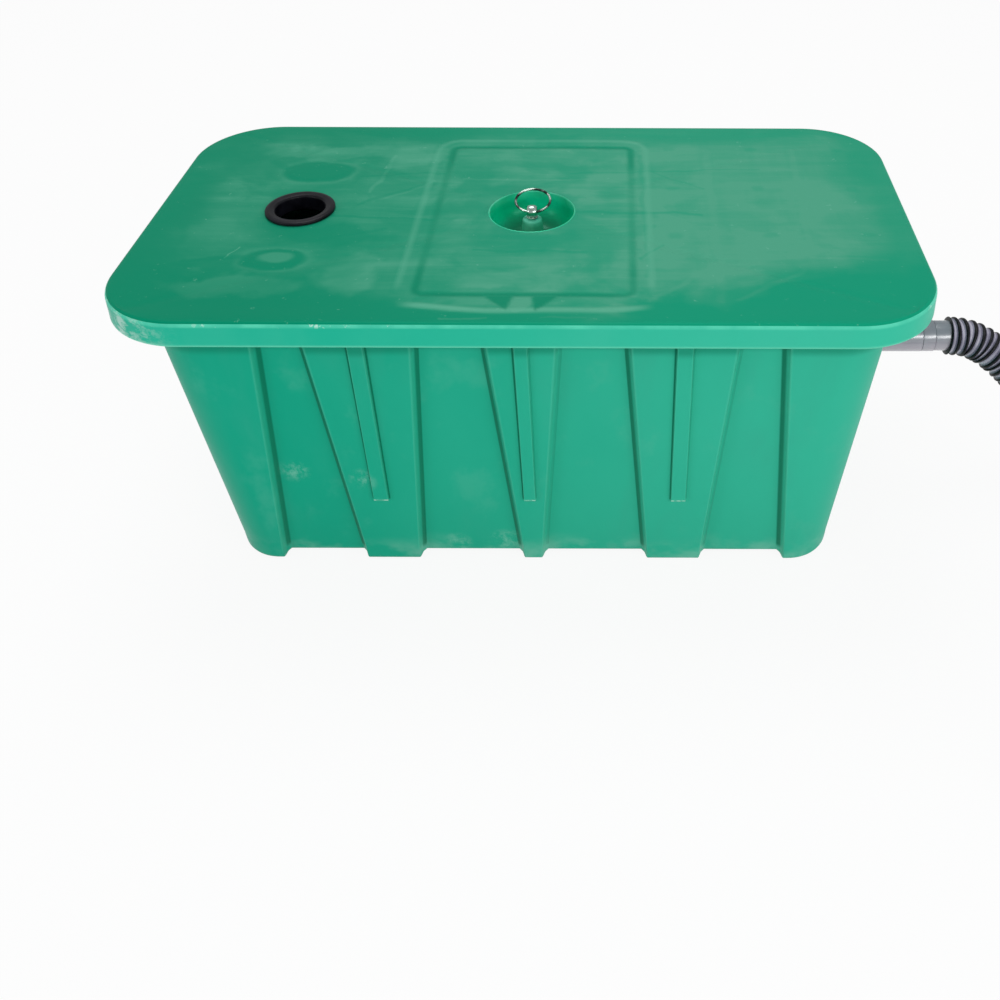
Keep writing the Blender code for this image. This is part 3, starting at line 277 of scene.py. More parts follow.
# Marks on the lid's upper face, in metres. Ovals are (place, radii, share). Lines, which the ribs
# below leave, are (start, end, half width, share). The round marks are (place, radii).
HAZY_OVALS = (
    ((-0.180, 0.106), (0.056, 0.015), 0.42),
    ((-0.236, -0.046), (0.028, 0.024), 0.16),
    ((-0.205, -0.112), (0.050, 0.016), 0.30),
    ((-0.126, -0.098), (0.026, 0.030), 0.50),
    ((-0.108, 0.096), (0.028, 0.030), 0.50),
    ((0.000, -0.100), (0.065, 0.018), 0.45),
    ((0.020, 0.100), (0.056, 0.016), 0.35),
    ((0.146, -0.112), (0.030, 0.026), 0.40),
    ((0.225, -0.080), (0.026, 0.018), 0.30),
    ((0.002, -0.133), (0.006, 0.0085), 0.50),
)
DEEP_OVALS = (
    ((-0.225, -0.086), (0.044, 0.008), 0.75),
    ((-0.150, -0.042), (0.052, 0.019), 0.75),
    ((-0.215, 0.135), (0.070, 0.018), 0.45),
    ((0.000, -0.052), (0.050, 0.016), 0.50),
    ((0.000, 0.048), (0.048, 0.014), 0.35),
    ((0.200, -0.128), (0.070, 0.020), 0.60),
)
ROUND_MARKS = (
    ((-0.186, -0.076), (0.027, 0.019)),
    ((-0.187, 0.068), (0.033, 0.022)),
)
HAZY_SPOT = ((-0.186, -0.073), (0.015, 0.010))
DEEP_LINES = (
    ((-0.157, -0.010), (-0.078, -0.015), 0.0016, 0.60),
    ((-0.147, 0.060), (-0.078, 0.066), 0.0014, 0.45),
    ((-0.140, 0.008), (-0.092, 0.047), 0.0018, 0.40),
    ((-0.158, -0.046), (-0.112, -0.030), 0.0020, 0.45),
    ((-0.255, -0.078), (-0.210, -0.072), 0.0018, 0.60),
    ((-0.230, 0.088), (-0.200, 0.062), 0.0030, 0.55),
    ((-0.090, -0.120), (-0.090, 0.118), 0.0030, 0.30),
    ((0.036, -0.002), (0.135, -0.004), 0.0018, 0.45),
    ((0.030, 0.068), (0.190, 0.076), 0.0012, 0.35),
    ((0.088, 0.100), (0.092, -0.100), 0.0020, 0.30),
    ((0.096, 0.070), (0.140, 0.040), 0.0014, 0.25),
    ((0.085, -0.072), (0.104, -0.052), 0.0014, 0.35),
    ((-0.040, -0.062), (0.045, -0.064), 0.0014, 0.40),
)
HAZY_LINES = (
    ((-0.2235, -0.0735), (-0.2165, -0.0600), 0.0007, 1.10),
    ((0.146, 0.113), (0.143, -0.130), 0.0030, 0.18),
    ((0.221, 0.113), (0.215, -0.075), 0.0030, 0.16),
    ((0.090, -0.132), (0.140, -0.087), 0.0022, 0.22),
    ((0.155, -0.130), (0.206, -0.088), 0.0022, 0.20),
    ((0.215, -0.070), (0.268, -0.074), 0.0018, 0.20),
    ((0.150, 0.002), (0.240, 0.004), 0.0020, 0.25),
    ((-0.134, 0.030), (-0.124, 0.100), 0.0016, 0.35),
    ((-0.120, 0.020), (-0.085, 0.052), 0.0016, 0.25),
    ((-0.060, 0.055), (0.078, 0.058), 0.0016, 0.35),
    ((-0.052, -0.1540), (-0.022, -0.1545), 0.0011, 0.35),
    ((0.018, -0.1535), (0.046, -0.1530), 0.0011, 0.30),
)
DOTS = [(x, y) for x in (0.113, 0.186, 0.262) for y in (0.114, 0.040, -0.038)]
DOT_HALF = 0.002
# Scuffs: the lid's front left corner, and (place, size) on the tub's front
SCUFFED_CORNER = (-0.289, -0.128, 0.256)
TUB_SCUFFS = (
    ((-0.0225, -0.1130, 0.0160), 0.017),
    ((-0.0620, -0.1130, 0.0140), 0.014),
    ((-0.1830, -0.1215, 0.0980), 0.015),
    ((-0.1290, -0.1275, 0.0960), 0.014),
)


def lid_top_material():
    n = Nodes("lid_top")
    x = n.axis("X")
    y = n.axis("Y")
    cloud = n.noise(6.5, 5.0, (1, 1.5, 1), 0.55, warp=0.8)
    patch = n.noise(17.0, 4.0, (1, 1.3, 1), 0.55, (2, 5, 0), warp=0.5)
    streak = n.noise(10.0, 5.0, (0.30, 3.6, 1), 0.62, (3, 1, 0), 0.06)
    cross = n.noise(10.0, 4.0, (3.2, 0.35, 1), 0.6, (7, 2, 0), 0.25)

    # The haze is weaker towards the face's ends and long edges
    wander = n.times(n.minus(cloud, 0.5), 0.10)
    along = n.plus(x, wander)
    bow = n.times(n.math("MAXIMUM", n.minus(n.math("ABSOLUTE", x), 0.08), 0.0), 0.30)
    amount = n.times(
        n.ramp(along, -0.285, -0.235, 0.10, 1.0),
        n.ramp(along, -0.15, 0.09, 0.30, 1.0),
        n.ramp(along, 0.225, 0.282, 1.0, 0.25),
        n.ramp(n.plus(n.minus(y, bow), wander), -0.150, -0.112),
        n.ramp(n.plus(y, wander), 0.118, 0.150, 1.0, 0.30),
    )
    # It is rubbed in several directions, and more evenly at the right
    rubbed = n.times(
        n.ramp(patch, 0.38, 0.60, 0.35, 1.30),
        n.ramp(streak, 0.36, 0.62, 0.70, 1.15),
        n.ramp(cross, 0.36, 0.62, 0.82, 1.10),
    )
    for turn in (-0.62, 0.55):
        swipe = n.noise(13.0, 5.0, (0.30, 3.0, 1), 0.66, (5, 9, 0), turn)
        rubbed = n.times(rubbed, n.ramp(swipe, 0.38, 0.62, 0.72, 1.26))
    even = n.ramp(x, 0.04, 0.14, 0.15, 0.68)
    fine = n.ramp(n.noise(26.0, 5.0, (0.22, 3.6, 1), 0.66, (1, 8, 0)), 0.36, 0.64, 0.78, 1.06)
    weave = n.ramp(n.noise(20.0, 4.0, (3.4, 0.30, 1), 0.60, (6, 3, 0)), 0.38, 0.62, 0.88, 1.05)
    amount = n.times(amount, n.plus(n.times(rubbed, n.rest(even)), n.times(fine, weave, even)))

    # Marks: uneven ovals, the round marks with their pale rims, lines and dots
    wave = n.ramp(patch, 0.30, 0.65, 0.45, 1.0)
    n.marks_place = n.pushed(26.0, 0.055)
    for place, radii, share in HAZY_OVALS:
        amount = n.plus(amount, n.times(n.oval(place, radii), wave, share))
    for place, radii, share in DEEP_OVALS:
        amount = n.times(amount, n.rest(n.times(n.oval(place, radii), share)))
    n.marks_place = n.pushed(34.0, 0.012)
    for place, radii in ROUND_MARKS:
        wider = (radii[0] * 1.22, radii[1] * 1.22)
        rim = n.minus(n.oval(place, wider, 0.10), n.oval(place, radii, 0.10))
        amount = n.plus(amount, n.times(rim, 0.16), True)
        amount = n.times(amount, n.rest(n.oval(place, radii, 0.12)))
    amount = n.plus(amount, n.times(n.oval(*HAZY_SPOT, 0.22), 0.50), True)
    for a, b, half, share in HAZY_LINES:
        line = n.ramp(n.segment(a, b), half * 0.3, half * 1.6, share, 0.0)
        amount = n.plus(amount, n.times(line, wave))
    for a, b, half, share in DEEP_LINES:
        line = n.ramp(n.segment(a, b), half * 0.3, half * 1.8, share, 0.0)
        amount = n.times(amount, n.rest(line))
    for dot_x, dot_y in DOTS:
        away = n.segment((dot_x - DOT_HALF, dot_y), (dot_x + DOT_HALF, dot_y))
        amount = n.times(amount, n.rest(n.ramp(away, 0.001, 0.006, 0.30, 0.0)))
    # The panel's groove, with less haze and a painted shade in it, and its raised border
    crest = n.attribute("crest")
    groove = n.times(n.attribute("groove"), n.ramp(cloud, 0.38, 0.60, 0.60, 1.0))
    amount = n.plus(amount, n.times(crest, 0.75), True)
    amount = n.times(amount, n.rest(n.times(groove, 0.9)), clamp=True)

    n.base(n.ramp(x, -0.24, 0.14), (0, 138, 103), (14, 154, 118))
    n.tint(amount, 80, 166, 135)
    # Painted shade in the groove and the pointed hollows
    n.tint(n.times(groove, 0.38), 0, 120, 86)
    n.tint(n.times(crest, n.rest(groove), 0.32, clamp=True), 112, 198, 166)
    n.tint(n.ramp(n.noise(150.0, 4.0, (1, 1, 1), 0.7), 0.66, 0.72, 0.0, 0.25), 140, 205, 180)
    return n.finish(n.ramp(amount, 0.0, 1.0, 0.40, 0.52), n.noise(55.0, 4.0), 0.22, 0.0006,
                    Specular_IOR_Level=0.08, Specular_Tint=GREEN_SHEEN)


def tub_material():
    n = Nodes("tub_wall")
    z = n.axis("Z")
    cloud = n.noise(7.0, 4.0, (1, 1, 0.5), 0.55, warp=0.5)
    # Painted light: the wall lightens towards the right, where the light from the right falls
    across = n.plus(n.axis("X"), n.times(n.minus(cloud, 0.5), 0.30))
    n.base(n.ramp(across, -0.30, 0.27), (10, 165, 133), (54, 186, 154))
    patch = n.noise(14.0, 4.0, (1, 1, 0.35), 0.6, (4, 2, 1), warp=0.3)
    n.tint(n.ramp(patch, 0.46, 0.70, 0.0, 0.40), 58, 172, 145)
    # Dust at the foot, smears, and the shade below the lid's skirt
    dust = n.ramp(n.noise(30.0, 3.0, (1, 1, 1.3), 0.55), 0.42, 0.68)
    n.tint(n.times(dust, n.ramp(z, 0.006, 0.030, 0.40, 0.0)), 150, 208, 188)
    smear = n.noise(22.0, 4.0, (1, 1, 0.8), 0.60, (9, 0, 4))
    n.tint(n.ramp(smear, 0.56, 0.74, 0.0, 0.26), 88, 188, 160)
    n.tint(n.ramp(z, SKIRT_END - 0.0235, SKIRT_END - 0.0150, 0.0, 0.55), 0, 118, 88)
    # Painted shade at the feet of the slopes and ribs, painted highlights along the crests and, broken
    # into spots, at the ribs' lower ends, and scuffs
    crest = n.attribute("crest")
    n.tint(n.ramp(n.attribute("crease_shade"), 0.50, 1.0, 0.0, 0.82), 0, 108, 78)
    # Painted highlights along the crests of the slopes and ribs
    n.tint(n.times(crest, 0.26, clamp=True), 92, 204, 170)
    # Painted highlights at the ribs' lower ends, broken into spots
    tip_highlight_spots = n.ramp(n.noise(330.0, 3.0), 0.46, 0.56, 0.10, 1.0)
    n.tint(n.times(n.ramp(crest, 0.9, 1.6), tip_highlight_spots), 190, 232, 214)
    grain = n.ramp(n.noise(70.0, 6.0, (1, 1, 0.8), 0.75), 0.42, 0.66, 0.0, 0.40)
    for place, size in TUB_SCUFFS:
        n.tint(n.times(n.near(place, size * 0.3, size), grain), 160, 218, 198)
    return n.finish(n.ramp(cloud, 0.3, 0.7, 0.38, 0.48), n.noise(40.0, 3.0), 0.18, 0.0006,
                    Specular_IOR_Level=0.10, Specular_Tint=GREEN_SHEEN)


def skirt_material():
    n = Nodes("lid_skirt")
    z = n.axis("Z")
    cloud = n.noise(8.0, 4.0, (1, 1, 0.6), 0.55, warp=0.4)
    # Painted light: the skirt has a lighter green than the lid's top, as it faces the front lamps, and it
    # lightens towards the right, where the light from the right falls
    n.base(n.ramp(n.axis("X"), -0.25, 0.25), (27, 182, 150), (58, 194, 161))
    n.tint(n.ramp(cloud, 0.45, 0.70, 0.0, 0.45), 66, 193, 163)
    # Painted highlights: light bands along the upper and lower edges, the upper one broken up by noise
    edge_highlight_strength = n.ramp(n.noise(30.0, 3.0, (1, 1, 0), 0.6), 0.35, 0.65, 0.40, 0.95)
    n.tint(n.times(n.ramp(z, LID_TOP - 0.0044, LID_TOP - 0.0024), edge_highlight_strength), 92, 216, 182)
    n.tint(n.ramp(z, SKIRT_END + 0.0008, SKIRT_END + 0.0030, 0.90, 0.0), 100, 214, 180)
    # Nicks in the upper edge, and the scuffed corner
    nick = n.times(
        n.ramp(n.noise(140.0, 4.0, (1, 1, 1), 0.75), 0.60, 0.65, 0.0, 0.8),
        n.ramp(z, LID_TOP - 0.0045, LID_TOP - 0.0015),
        n.ramp(n.noise(9.0, 2.0, (1, 1, 0), 0.5, (5, 0, 0)), 0.50, 0.60),
    )
    n.tint(nick, 205, 240, 226)
    grain = n.ramp(n.noise(75.0, 6.0, (1, 1, 1.5), 0.75), 0.44, 0.60)
    n.tint(n.times(n.near(SCUFFED_CORNER, 0.020, 0.070, 0.75), grain), 196, 230, 218)
    return n.finish(n.ramp(cloud, 0.3, 0.7, 0.36, 0.48), n.noise(45.0, 3.0), 0.18, 0.0006,
                    Specular_IOR_Level=0.16, Specular_Tint=GREEN_SHEEN)


def pocket_material():
    n = Nodes("pocket_green")
    n.base(n.ramp(n.noise(30.0, 3.0), 0.4, 0.65), (0, 192, 138), (10, 204, 154))
    # Painted shade: darker towards the pocket's floor
    n.tint(n.ramp(n.axis("Z"), POCKET_FLOOR, POCKET_FLOOR + 0.012, 0.85, 0.0), 0, 92, 60)
    # Painted highlight along the pocket's rounded rim, broken up by noise
    rim_highlight_spots = n.ramp(n.noise(95.0, 4.0), 0.42, 0.62, 0.45, 1.0)
    n.tint(n.times(n.attribute("crest"), rim_highlight_spots), 96, 204, 168)
    return n.finish(0.28, n.noise(60.0, 2.0), 0.12, 0.0004, Specular_IOR_Level=0.45,
                    Specular_Tint=GREEN_SHEEN)


def post_material():
    n = Nodes("post_green")
    n.base(n.ramp(n.noise(55.0, 4.0, (1, 1, 0.4)), 0.40, 0.66), (52, 172, 138), (92, 190, 160))
    # Painted shade: darker towards the post's foot
    n.tint(n.ramp(n.axis("Z"), POCKET_FLOOR, POCKET_FLOOR + 0.008, 0.7, 0.0), 10, 112, 82)
    return n.finish(0.45, n.noise(120.0, 3.0), 0.2, 0.0004, Specular_IOR_Level=0.25)


def inside_material():
    n = Nodes("inside_green")
    cloud = n.noise(8.0, 4.0, (1, 1, 0.6), 0.55, warp=0.4)
    n.base(n.ramp(cloud, 0.42, 0.68, 0.0, 0.75), (24, 140, 108), (52, 150, 122))
    n.tint(n.ramp(n.noise(160.0, 3.0, (1, 1, 1), 0.6), 0.45, 0.8, 0.0, 0.06), 120, 190, 165)
    return n.finish(n.ramp(cloud, 0.3, 0.7, 0.45, 0.58), n.noise(45.0, 3.0), 0.2, 0.0006)


def plain_material(name, first, second, rough, scale=60.0, bump=0.15, **values):
    n = Nodes(name)
    cloud = n.noise(scale, 4.0)
    n.base(n.ramp(cloud, 0.35, 0.7), first, second)
    roughness = n.ramp(cloud, 0.3, 0.7, rough * 0.85, rough * 1.15)
    return n.finish(roughness, n.noise(scale * 8, 3.0), bump, 0.0002, **values)


def steel_material(name, dark_reflection_share):
    """Bright steel with painted reflections of dark surroundings over a share of its surface."""
    n = Nodes(name)
    cloud = n.noise(85.0, 2.0)
    n.base(n.ramp(cloud, dark_reflection_share, dark_reflection_share + 0.18), (40, 54, 48), (190, 208, 198))
    roughness = n.ramp(cloud, 0.3, 0.7, 0.28, 0.16)
    return n.finish(roughness, n.noise(900.0, 3.0), 0.08, 0.0001, Metallic=1.0)


def pipe_material():
    n = Nodes("pipe_plastic")
    cloud = n.noise(60.0, 4.0)
    # Painted reflection: the upper half darker blue-grey, the lower half lighter lilac
    shade = n.ramp(n.axis("Z"), OUTLET_Z - 0.004, OUTLET_Z + 0.009)
    n.base(shade, (143, 134, 150), (100, 113, 123))
    n.tint(n.ramp(cloud, 0.35, 0.7, 0.0, 0.25), 150, 148, 160)
    return n.finish(n.ramp(cloud, 0.3, 0.7, 0.34, 0.38), Specular_IOR_Level=0.6,
                    Coat_Weight=1.0, Coat_Roughness=0.27, Coat_IOR=2.2)


def hose_material():
    n = Nodes("hose_bands")
    ridge = n.attribute("ridge")
    cloud = n.noise(60.0, 4.0)
    n.base(n.ramp(cloud, 0.35, 0.65), (118, 116, 136), (152, 150, 168))
    n.tint(n.times(n.attribute("fold"), n.ramp(cloud, 0.30, 0.60, 0.4, 1.0)), 206, 204, 216)
    n.tint(n.ramp(ridge, 0.30, 0.55), 10, 12, 18)
    return n.finish(n.ramp(ridge, 0.2, 0.7, 0.34, 0.42), n.noise(300.0, 3.0), 0.15, 0.0002,
                    Specular_IOR_Level=0.25)


# Mesh helpers
def made(name, points, faces, materials, body, replaces, slots=None, smooth_angle=35.0):
    """A piece from points and faces, riding on its body."""
    mesh = bpy.data.meshes.new(name)
    mesh.from_pydata([tuple(p) for p in points], [], faces)
    for material in materials:
        mesh.materials.append(material)
    if slots is not None:
        mesh.polygons.foreach_set("material_index", slots)
    bm = bmesh.new()
    bm.from_mesh(mesh)
    bmesh.ops.recalc_face_normals(bm, faces=bm.faces)
    bm.to_mesh(mesh)
    bm.free()
    mesh.shade_smooth()
    mesh.set_sharp_from_angle(angle=math.radians(smooth_angle))
    piece = bpy.data.objects.new(name, mesh)
    bpy.context.scene.collection.objects.link(piece)
    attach(piece, body)
    if replaces:
        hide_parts(*replaces)
    return piece


def paint(piece, name, values):
    """Stores one number for each point of a piece, for its material."""
    layer = piece.data.attributes.new(name, "FLOAT", "POINT")
    layer.data.foreach_set("value", np.asarray(values, float))


def grid_faces(rows, columns, ring=False):
    """Faces between rows of points; in a ring, the last row meets the first."""
    faces = []
    for row in range(rows if ring else rows - 1):
        a = row * columns
        b = (row + 1) % rows * columns
        for c in range(columns):
            n = (c + 1) % columns
            faces.append((a + c, a + n, b + n, b + c))
    return faces


def lathe(profile, segments, centre, along="Z"):
    """Points and faces of a closed profile of (radius, height), turned about an axis."""
    points = []
    for radius, height in profile:
        for k in range(segments):
            angle = 2 * math.pi * k / segments
            p = Vector((radius * math.cos(angle), radius * math.sin(angle), height))
            if along == "X":
                p = Vector((p.z, p.x, p.y))
            points.append(p + Vector(centre))
    return points, grid_faces(len(profile), segments, True)


def wire_ring(major, minor, matrix, major_steps, minor_steps):
    """Points and faces of a ring of round wire, turned by a matrix."""
    points = []
    for j in range(major_steps):
        around = 2 * math.pi * j / major_steps
        for k in range(minor_steps):
            angle = 2 * math.pi * k / minor_steps
            r = major + minor * math.cos(angle)
            p = Vector((r * math.cos(around), r * math.sin(around), minor * math.sin(angle)))
            points.append(matrix @ p)
    return points, grid_faces(major_steps, minor_steps, True)


def rounded_profile(corners, radius, steps=4):
    """A closed profile with its corners rounded; radius may be one value or one for each corner."""
    result = []
    count = len(corners)
    for k in range(count):
        before = Vector(corners[k - 1])
        corner = Vector(corners[k])
        after = Vector(corners[(k + 1) % count])
        r = radius[k] if isinstance(radius, (list, tuple)) else radius
        r = min(r, (before - corner).length * 0.45, (after - corner).length * 0.45)
        start = corner + (before - corner).normalized() * r
        end = corner + (after - corner).normalized() * r
        for j in range(steps + 1):
            t = j / steps
            result.append(start * (1 - t) ** 2 + corner * 2 * t * (1 - t) + end * t * t)
    return [(p.x, p.y) for p in result]


def rounded_rectangle(half_x, half_y, radius, steps):
    points = []
    for turn, (sx, sy) in enumerate(((1, -1), (1, 1), (-1, 1), (-1, -1))):
        for k in range(steps + 1):
            angle = math.radians(-90 + 90 * turn + 90 * k / steps)
            x = sx * (half_x - radius) + radius * math.cos(angle)
            y = sy * (half_y - radius) + radius * math.sin(angle)
            points.append((x, y))
    return np.array(points)


def outside_of(x, y, centre, half, corner):
    """How far a place lies outside a rounded rectangle; negative inside."""
    qx = np.abs(x - centre[0]) - (half[0] - corner)
    qy = np.abs(y - centre[1]) - (half[1] - corner)
    return np.hypot(np.maximum(qx, 0), np.maximum(qy, 0)) + np.minimum(np.maximum(qx, qy), 0) - corner


def box_level(x0, x1, y0, y1, z):
    """Four corners of a box at one height."""
    return [(x0, y0, z), (x1, y0, z), (x1, y1, z), (x0, y1, z)]


BOX_FACES = [(0, 3, 2, 1), (4, 5, 6, 7), (0, 1, 5, 4), (1, 2, 6, 5), (2, 3, 7, 6), (3, 0, 4, 7)]


def build_boxes(name, boxes, look, body, bevel_width):
    """A piece of boxes with softened edges; a box is its four low corners and its four high ones."""
    points = [point for box in boxes for point in box]
    faces = [tuple(8 * k + i for i in face) for k in range(len(boxes)) for face in BOX_FACES]
    bevel = made(name, points, faces, [look], body, []).modifiers.new("Bevel", "BEVEL")
    bevel.width = bevel_width
    bevel.segments = 2


# Tub: places along a long wall from its middle, at the body's top and at its foot
CENTRE = (0.0260, 0.0064)
OUTER_IN = (0.0775, 0.0945)
OUTER_OUT = (0.1560, 0.1355)
BLOCK = (0.1910, 0.2070)
RIB_X = 0.117
CENTRE_RIB = (0.00475, 0.0042)
OUTER_RIB = (0.0055, 0.0055)
RIB_HEIGHT = 0.003
RIB_EDGE = 0.0010
RIB_END = 0.0745
PAD_HALF = (0.062, 0.054)
PAD_SLOPE = 0.004
TUB_CORNER = (0.040, 0.0355)
CORNER_STEPS = 20
# Heights of the rings up the body, closer together where the ribs end and the end pads start
RING_HEIGHTS = np.array([
    *np.linspace(0.014, 0.066, 6),
    0.0700, 0.0715, 0.0725, 0.0735, 0.0745, 0.0755, 0.0768, 0.0790, 0.0850, 0.0910,
    0.0940, 0.0960, 0.0980, 0.1000, 0.1020,
    *np.linspace(0.106, 0.184, 27),
    *np.linspace(0.192, BODY_TOP, 6),
])
TUB_BEND = 0.0055
FLOOR_BEND = 0.006
FLANGE_EDGE = 0.001
INNER_EDGE = 0.0012


def wall_marks():
    """Marks along half of a long wall: (top x, foot x, recess, rib, edge shade, edge highlight, rib shade,
    rib highlight, edge that the light from the right reaches). The shade columns weigh the painted shade
    at the feet of the slopes, and the highlight columns the painted highlights on the crests."""
    marks = [(0.0, 0.0, 0, 1, 0, 0, 0, 0, 0)]

    def rib(centre, half, side):
        def at(away, *weights):
            top = centre + side * (half[0] + away)
            return (top, centre + side * (half[1] + away * 0.5), 0, *weights, float(side > 0))
        found = [
            at(-0.0010, 1, 0, 0, 0, 0),
            at(0.0, 1, 0, 0, 0, 1),
            at(RIB_EDGE, 0, 0, 0, 1, 0),
            at(RIB_EDGE + 0.0009, 0, 0, 0, 0.95, 0),
            at(RIB_EDGE + 0.0021, 0, 0, 0, 0, 0),
        ]
        return found if side > 0 else found[::-1]

    def edge(place, side, soft):
        def at(away, foot, *weights):
            return (place[0] + side * away, place[1] + side * foot, *weights, 0, 0, float(side > 0))
        found = [
            at(-0.0016, -0.0003, 0, 0, 0, 0),
            at(0.0, 0.0, 0, 0, 0, 1),
            at(SLOPE * 0.7, SLOPE * 0.7, 0.75, 0, 0.9, 0),
            at(SLOPE + 0.0006, SLOPE + 0.0006, 1, 0, 1, 0),
            at(SLOPE + soft, SLOPE + soft, 1, 0, 0, 0),
        ]
        return found if side > 0 else found[::-1]

    marks += rib(0.0, CENTRE_RIB, 1)
    marks += edge(CENTRE, 1, 0.0024)
    marks += edge(OUTER_IN, -1, 0.0024)
    marks += rib(RIB_X, OUTER_RIB, -1)
    marks += rib(RIB_X, OUTER_RIB, 1)
    marks += edge(OUTER_OUT, 1, 0.0024)
    marks += edge(BLOCK, -1, 0.0036)
    return np.array(marks, float)


def wall_samples():
    """Samples along a whole long wall, from its left end to its right, with the marks' weights."""
    marks = wall_marks()
    samples = []
    for a, b in zip(marks, marks[1:]):
        steep = abs(a[2] - b[2]) > 0.5
        changes = np.any(a[2:8] != b[2:8])
        steps = 2 if changes and not steep else 4
        for k in range(steps):
            t = k / steps
            sample = a + (b - a) * t
            sample[2:4] = a[2:4] + (b[2:4] - a[2:4]) * float(smooth(t))
            samples.append(sample)
    half = np.array(samples + [marks[-1]])
    mirror = np.ones(half.shape[1])
    mirror[:2] = -1
    right = half.copy()
    # Less painted shade at the edges that the light from the right reaches
    right[:, 4] *= 1 - 0.28 * right[:, 8]
    right[:, 6] *= 1 - 0.32 * right[:, 8]
    return np.concatenate([half[::-1] * mirror, right[1:]])


WALL = wall_samples()
END_Y = np.unique(np.concatenate([np.linspace(-1, 1, 25), np.linspace(-0.40, 0.40, 41)]))


def tub_ring(z, inward=0.0, recess=RECESS, rib=0.0, pad=0.0, sizes=None):
    """One ring of the tub at a height, anticlockwise from the front wall's left end."""
    level = level_of(z)
    half_x = half_length(z) - inward
    half_y = half_width(z) - inward
    corner = between(TUB_CORNER, level) - inward
    if sizes:
        half_x, half_y, corner = sizes
        level = 0.0
    x = WALL[:, 0] + (WALL[:, 1] - WALL[:, 0]) * level
    y = half_y - WALL[:, 2] * recess + WALL[:, 3] * rib
    front = np.stack([x, -y], 1)
    angles = np.radians(-90 + 90 * np.arange(1, CORNER_STEPS) / CORNER_STEPS)
    arc_x = half_x - corner + corner * np.cos(angles)
    arc_y = -(half_y - corner) + corner * np.sin(angles)
    arc = np.stack([arc_x, arc_y], 1)
    start = np.array([[half_x - corner, -half_y]])
    flat_y = (half_y - corner) * END_Y
    raise_by = pad * smooth((between(PAD_HALF, level) + PAD_SLOPE - np.abs(flat_y)) / PAD_SLOPE)
    reach = half_x + raise_by
    if pad:
        away = np.hypot(flat_y, z - OUTLET_Z)
        reach = reach + (BOSS_FACE_X - reach) * smooth((BOSS_RADIUS + BOSS_RISE - away) / BOSS_RISE)
    end = np.stack([reach, flat_y], 1)
    left_end = np.stack([-(half_x + raise_by), -flat_y], 1)
    right_back = np.stack([arc[::-1, 0], -arc[::-1, 1]], 1)
    back_start = start * [1, -1]
    half_ring = np.concatenate([front, start, arc, end, right_back, back_start])
    left = np.concatenate([-front, -start, -arc, left_end, -right_back, -back_start])
    ring = np.concatenate([half_ring, left])
    return np.column_stack([ring, np.full(len(ring), z)])


def tub_weights(column):
    """One of the wall marks' weights for each point of a ring."""
    half = np.concatenate([WALL[:, column], np.zeros(2 * CORNER_STEPS + len(END_Y))])
    return np.concatenate([half, half])


def underside(start, count):
    """Faces across the tub from the front wall's points to the back wall's, and at both ends."""
    wall = len(WALL)
    half = count // 2
    front = [start + k for k in range(wall)]
    back = [start + half + wall - 1 - k for k in range(wall)]
    right = tuple(start + k for k in range(wall - 1, half + 1))
    left = tuple(start + (half + k) % count for k in range(wall - 1, half + 1))
    return list(zip(front, front[1:], back[1:], back)) + [right, left]


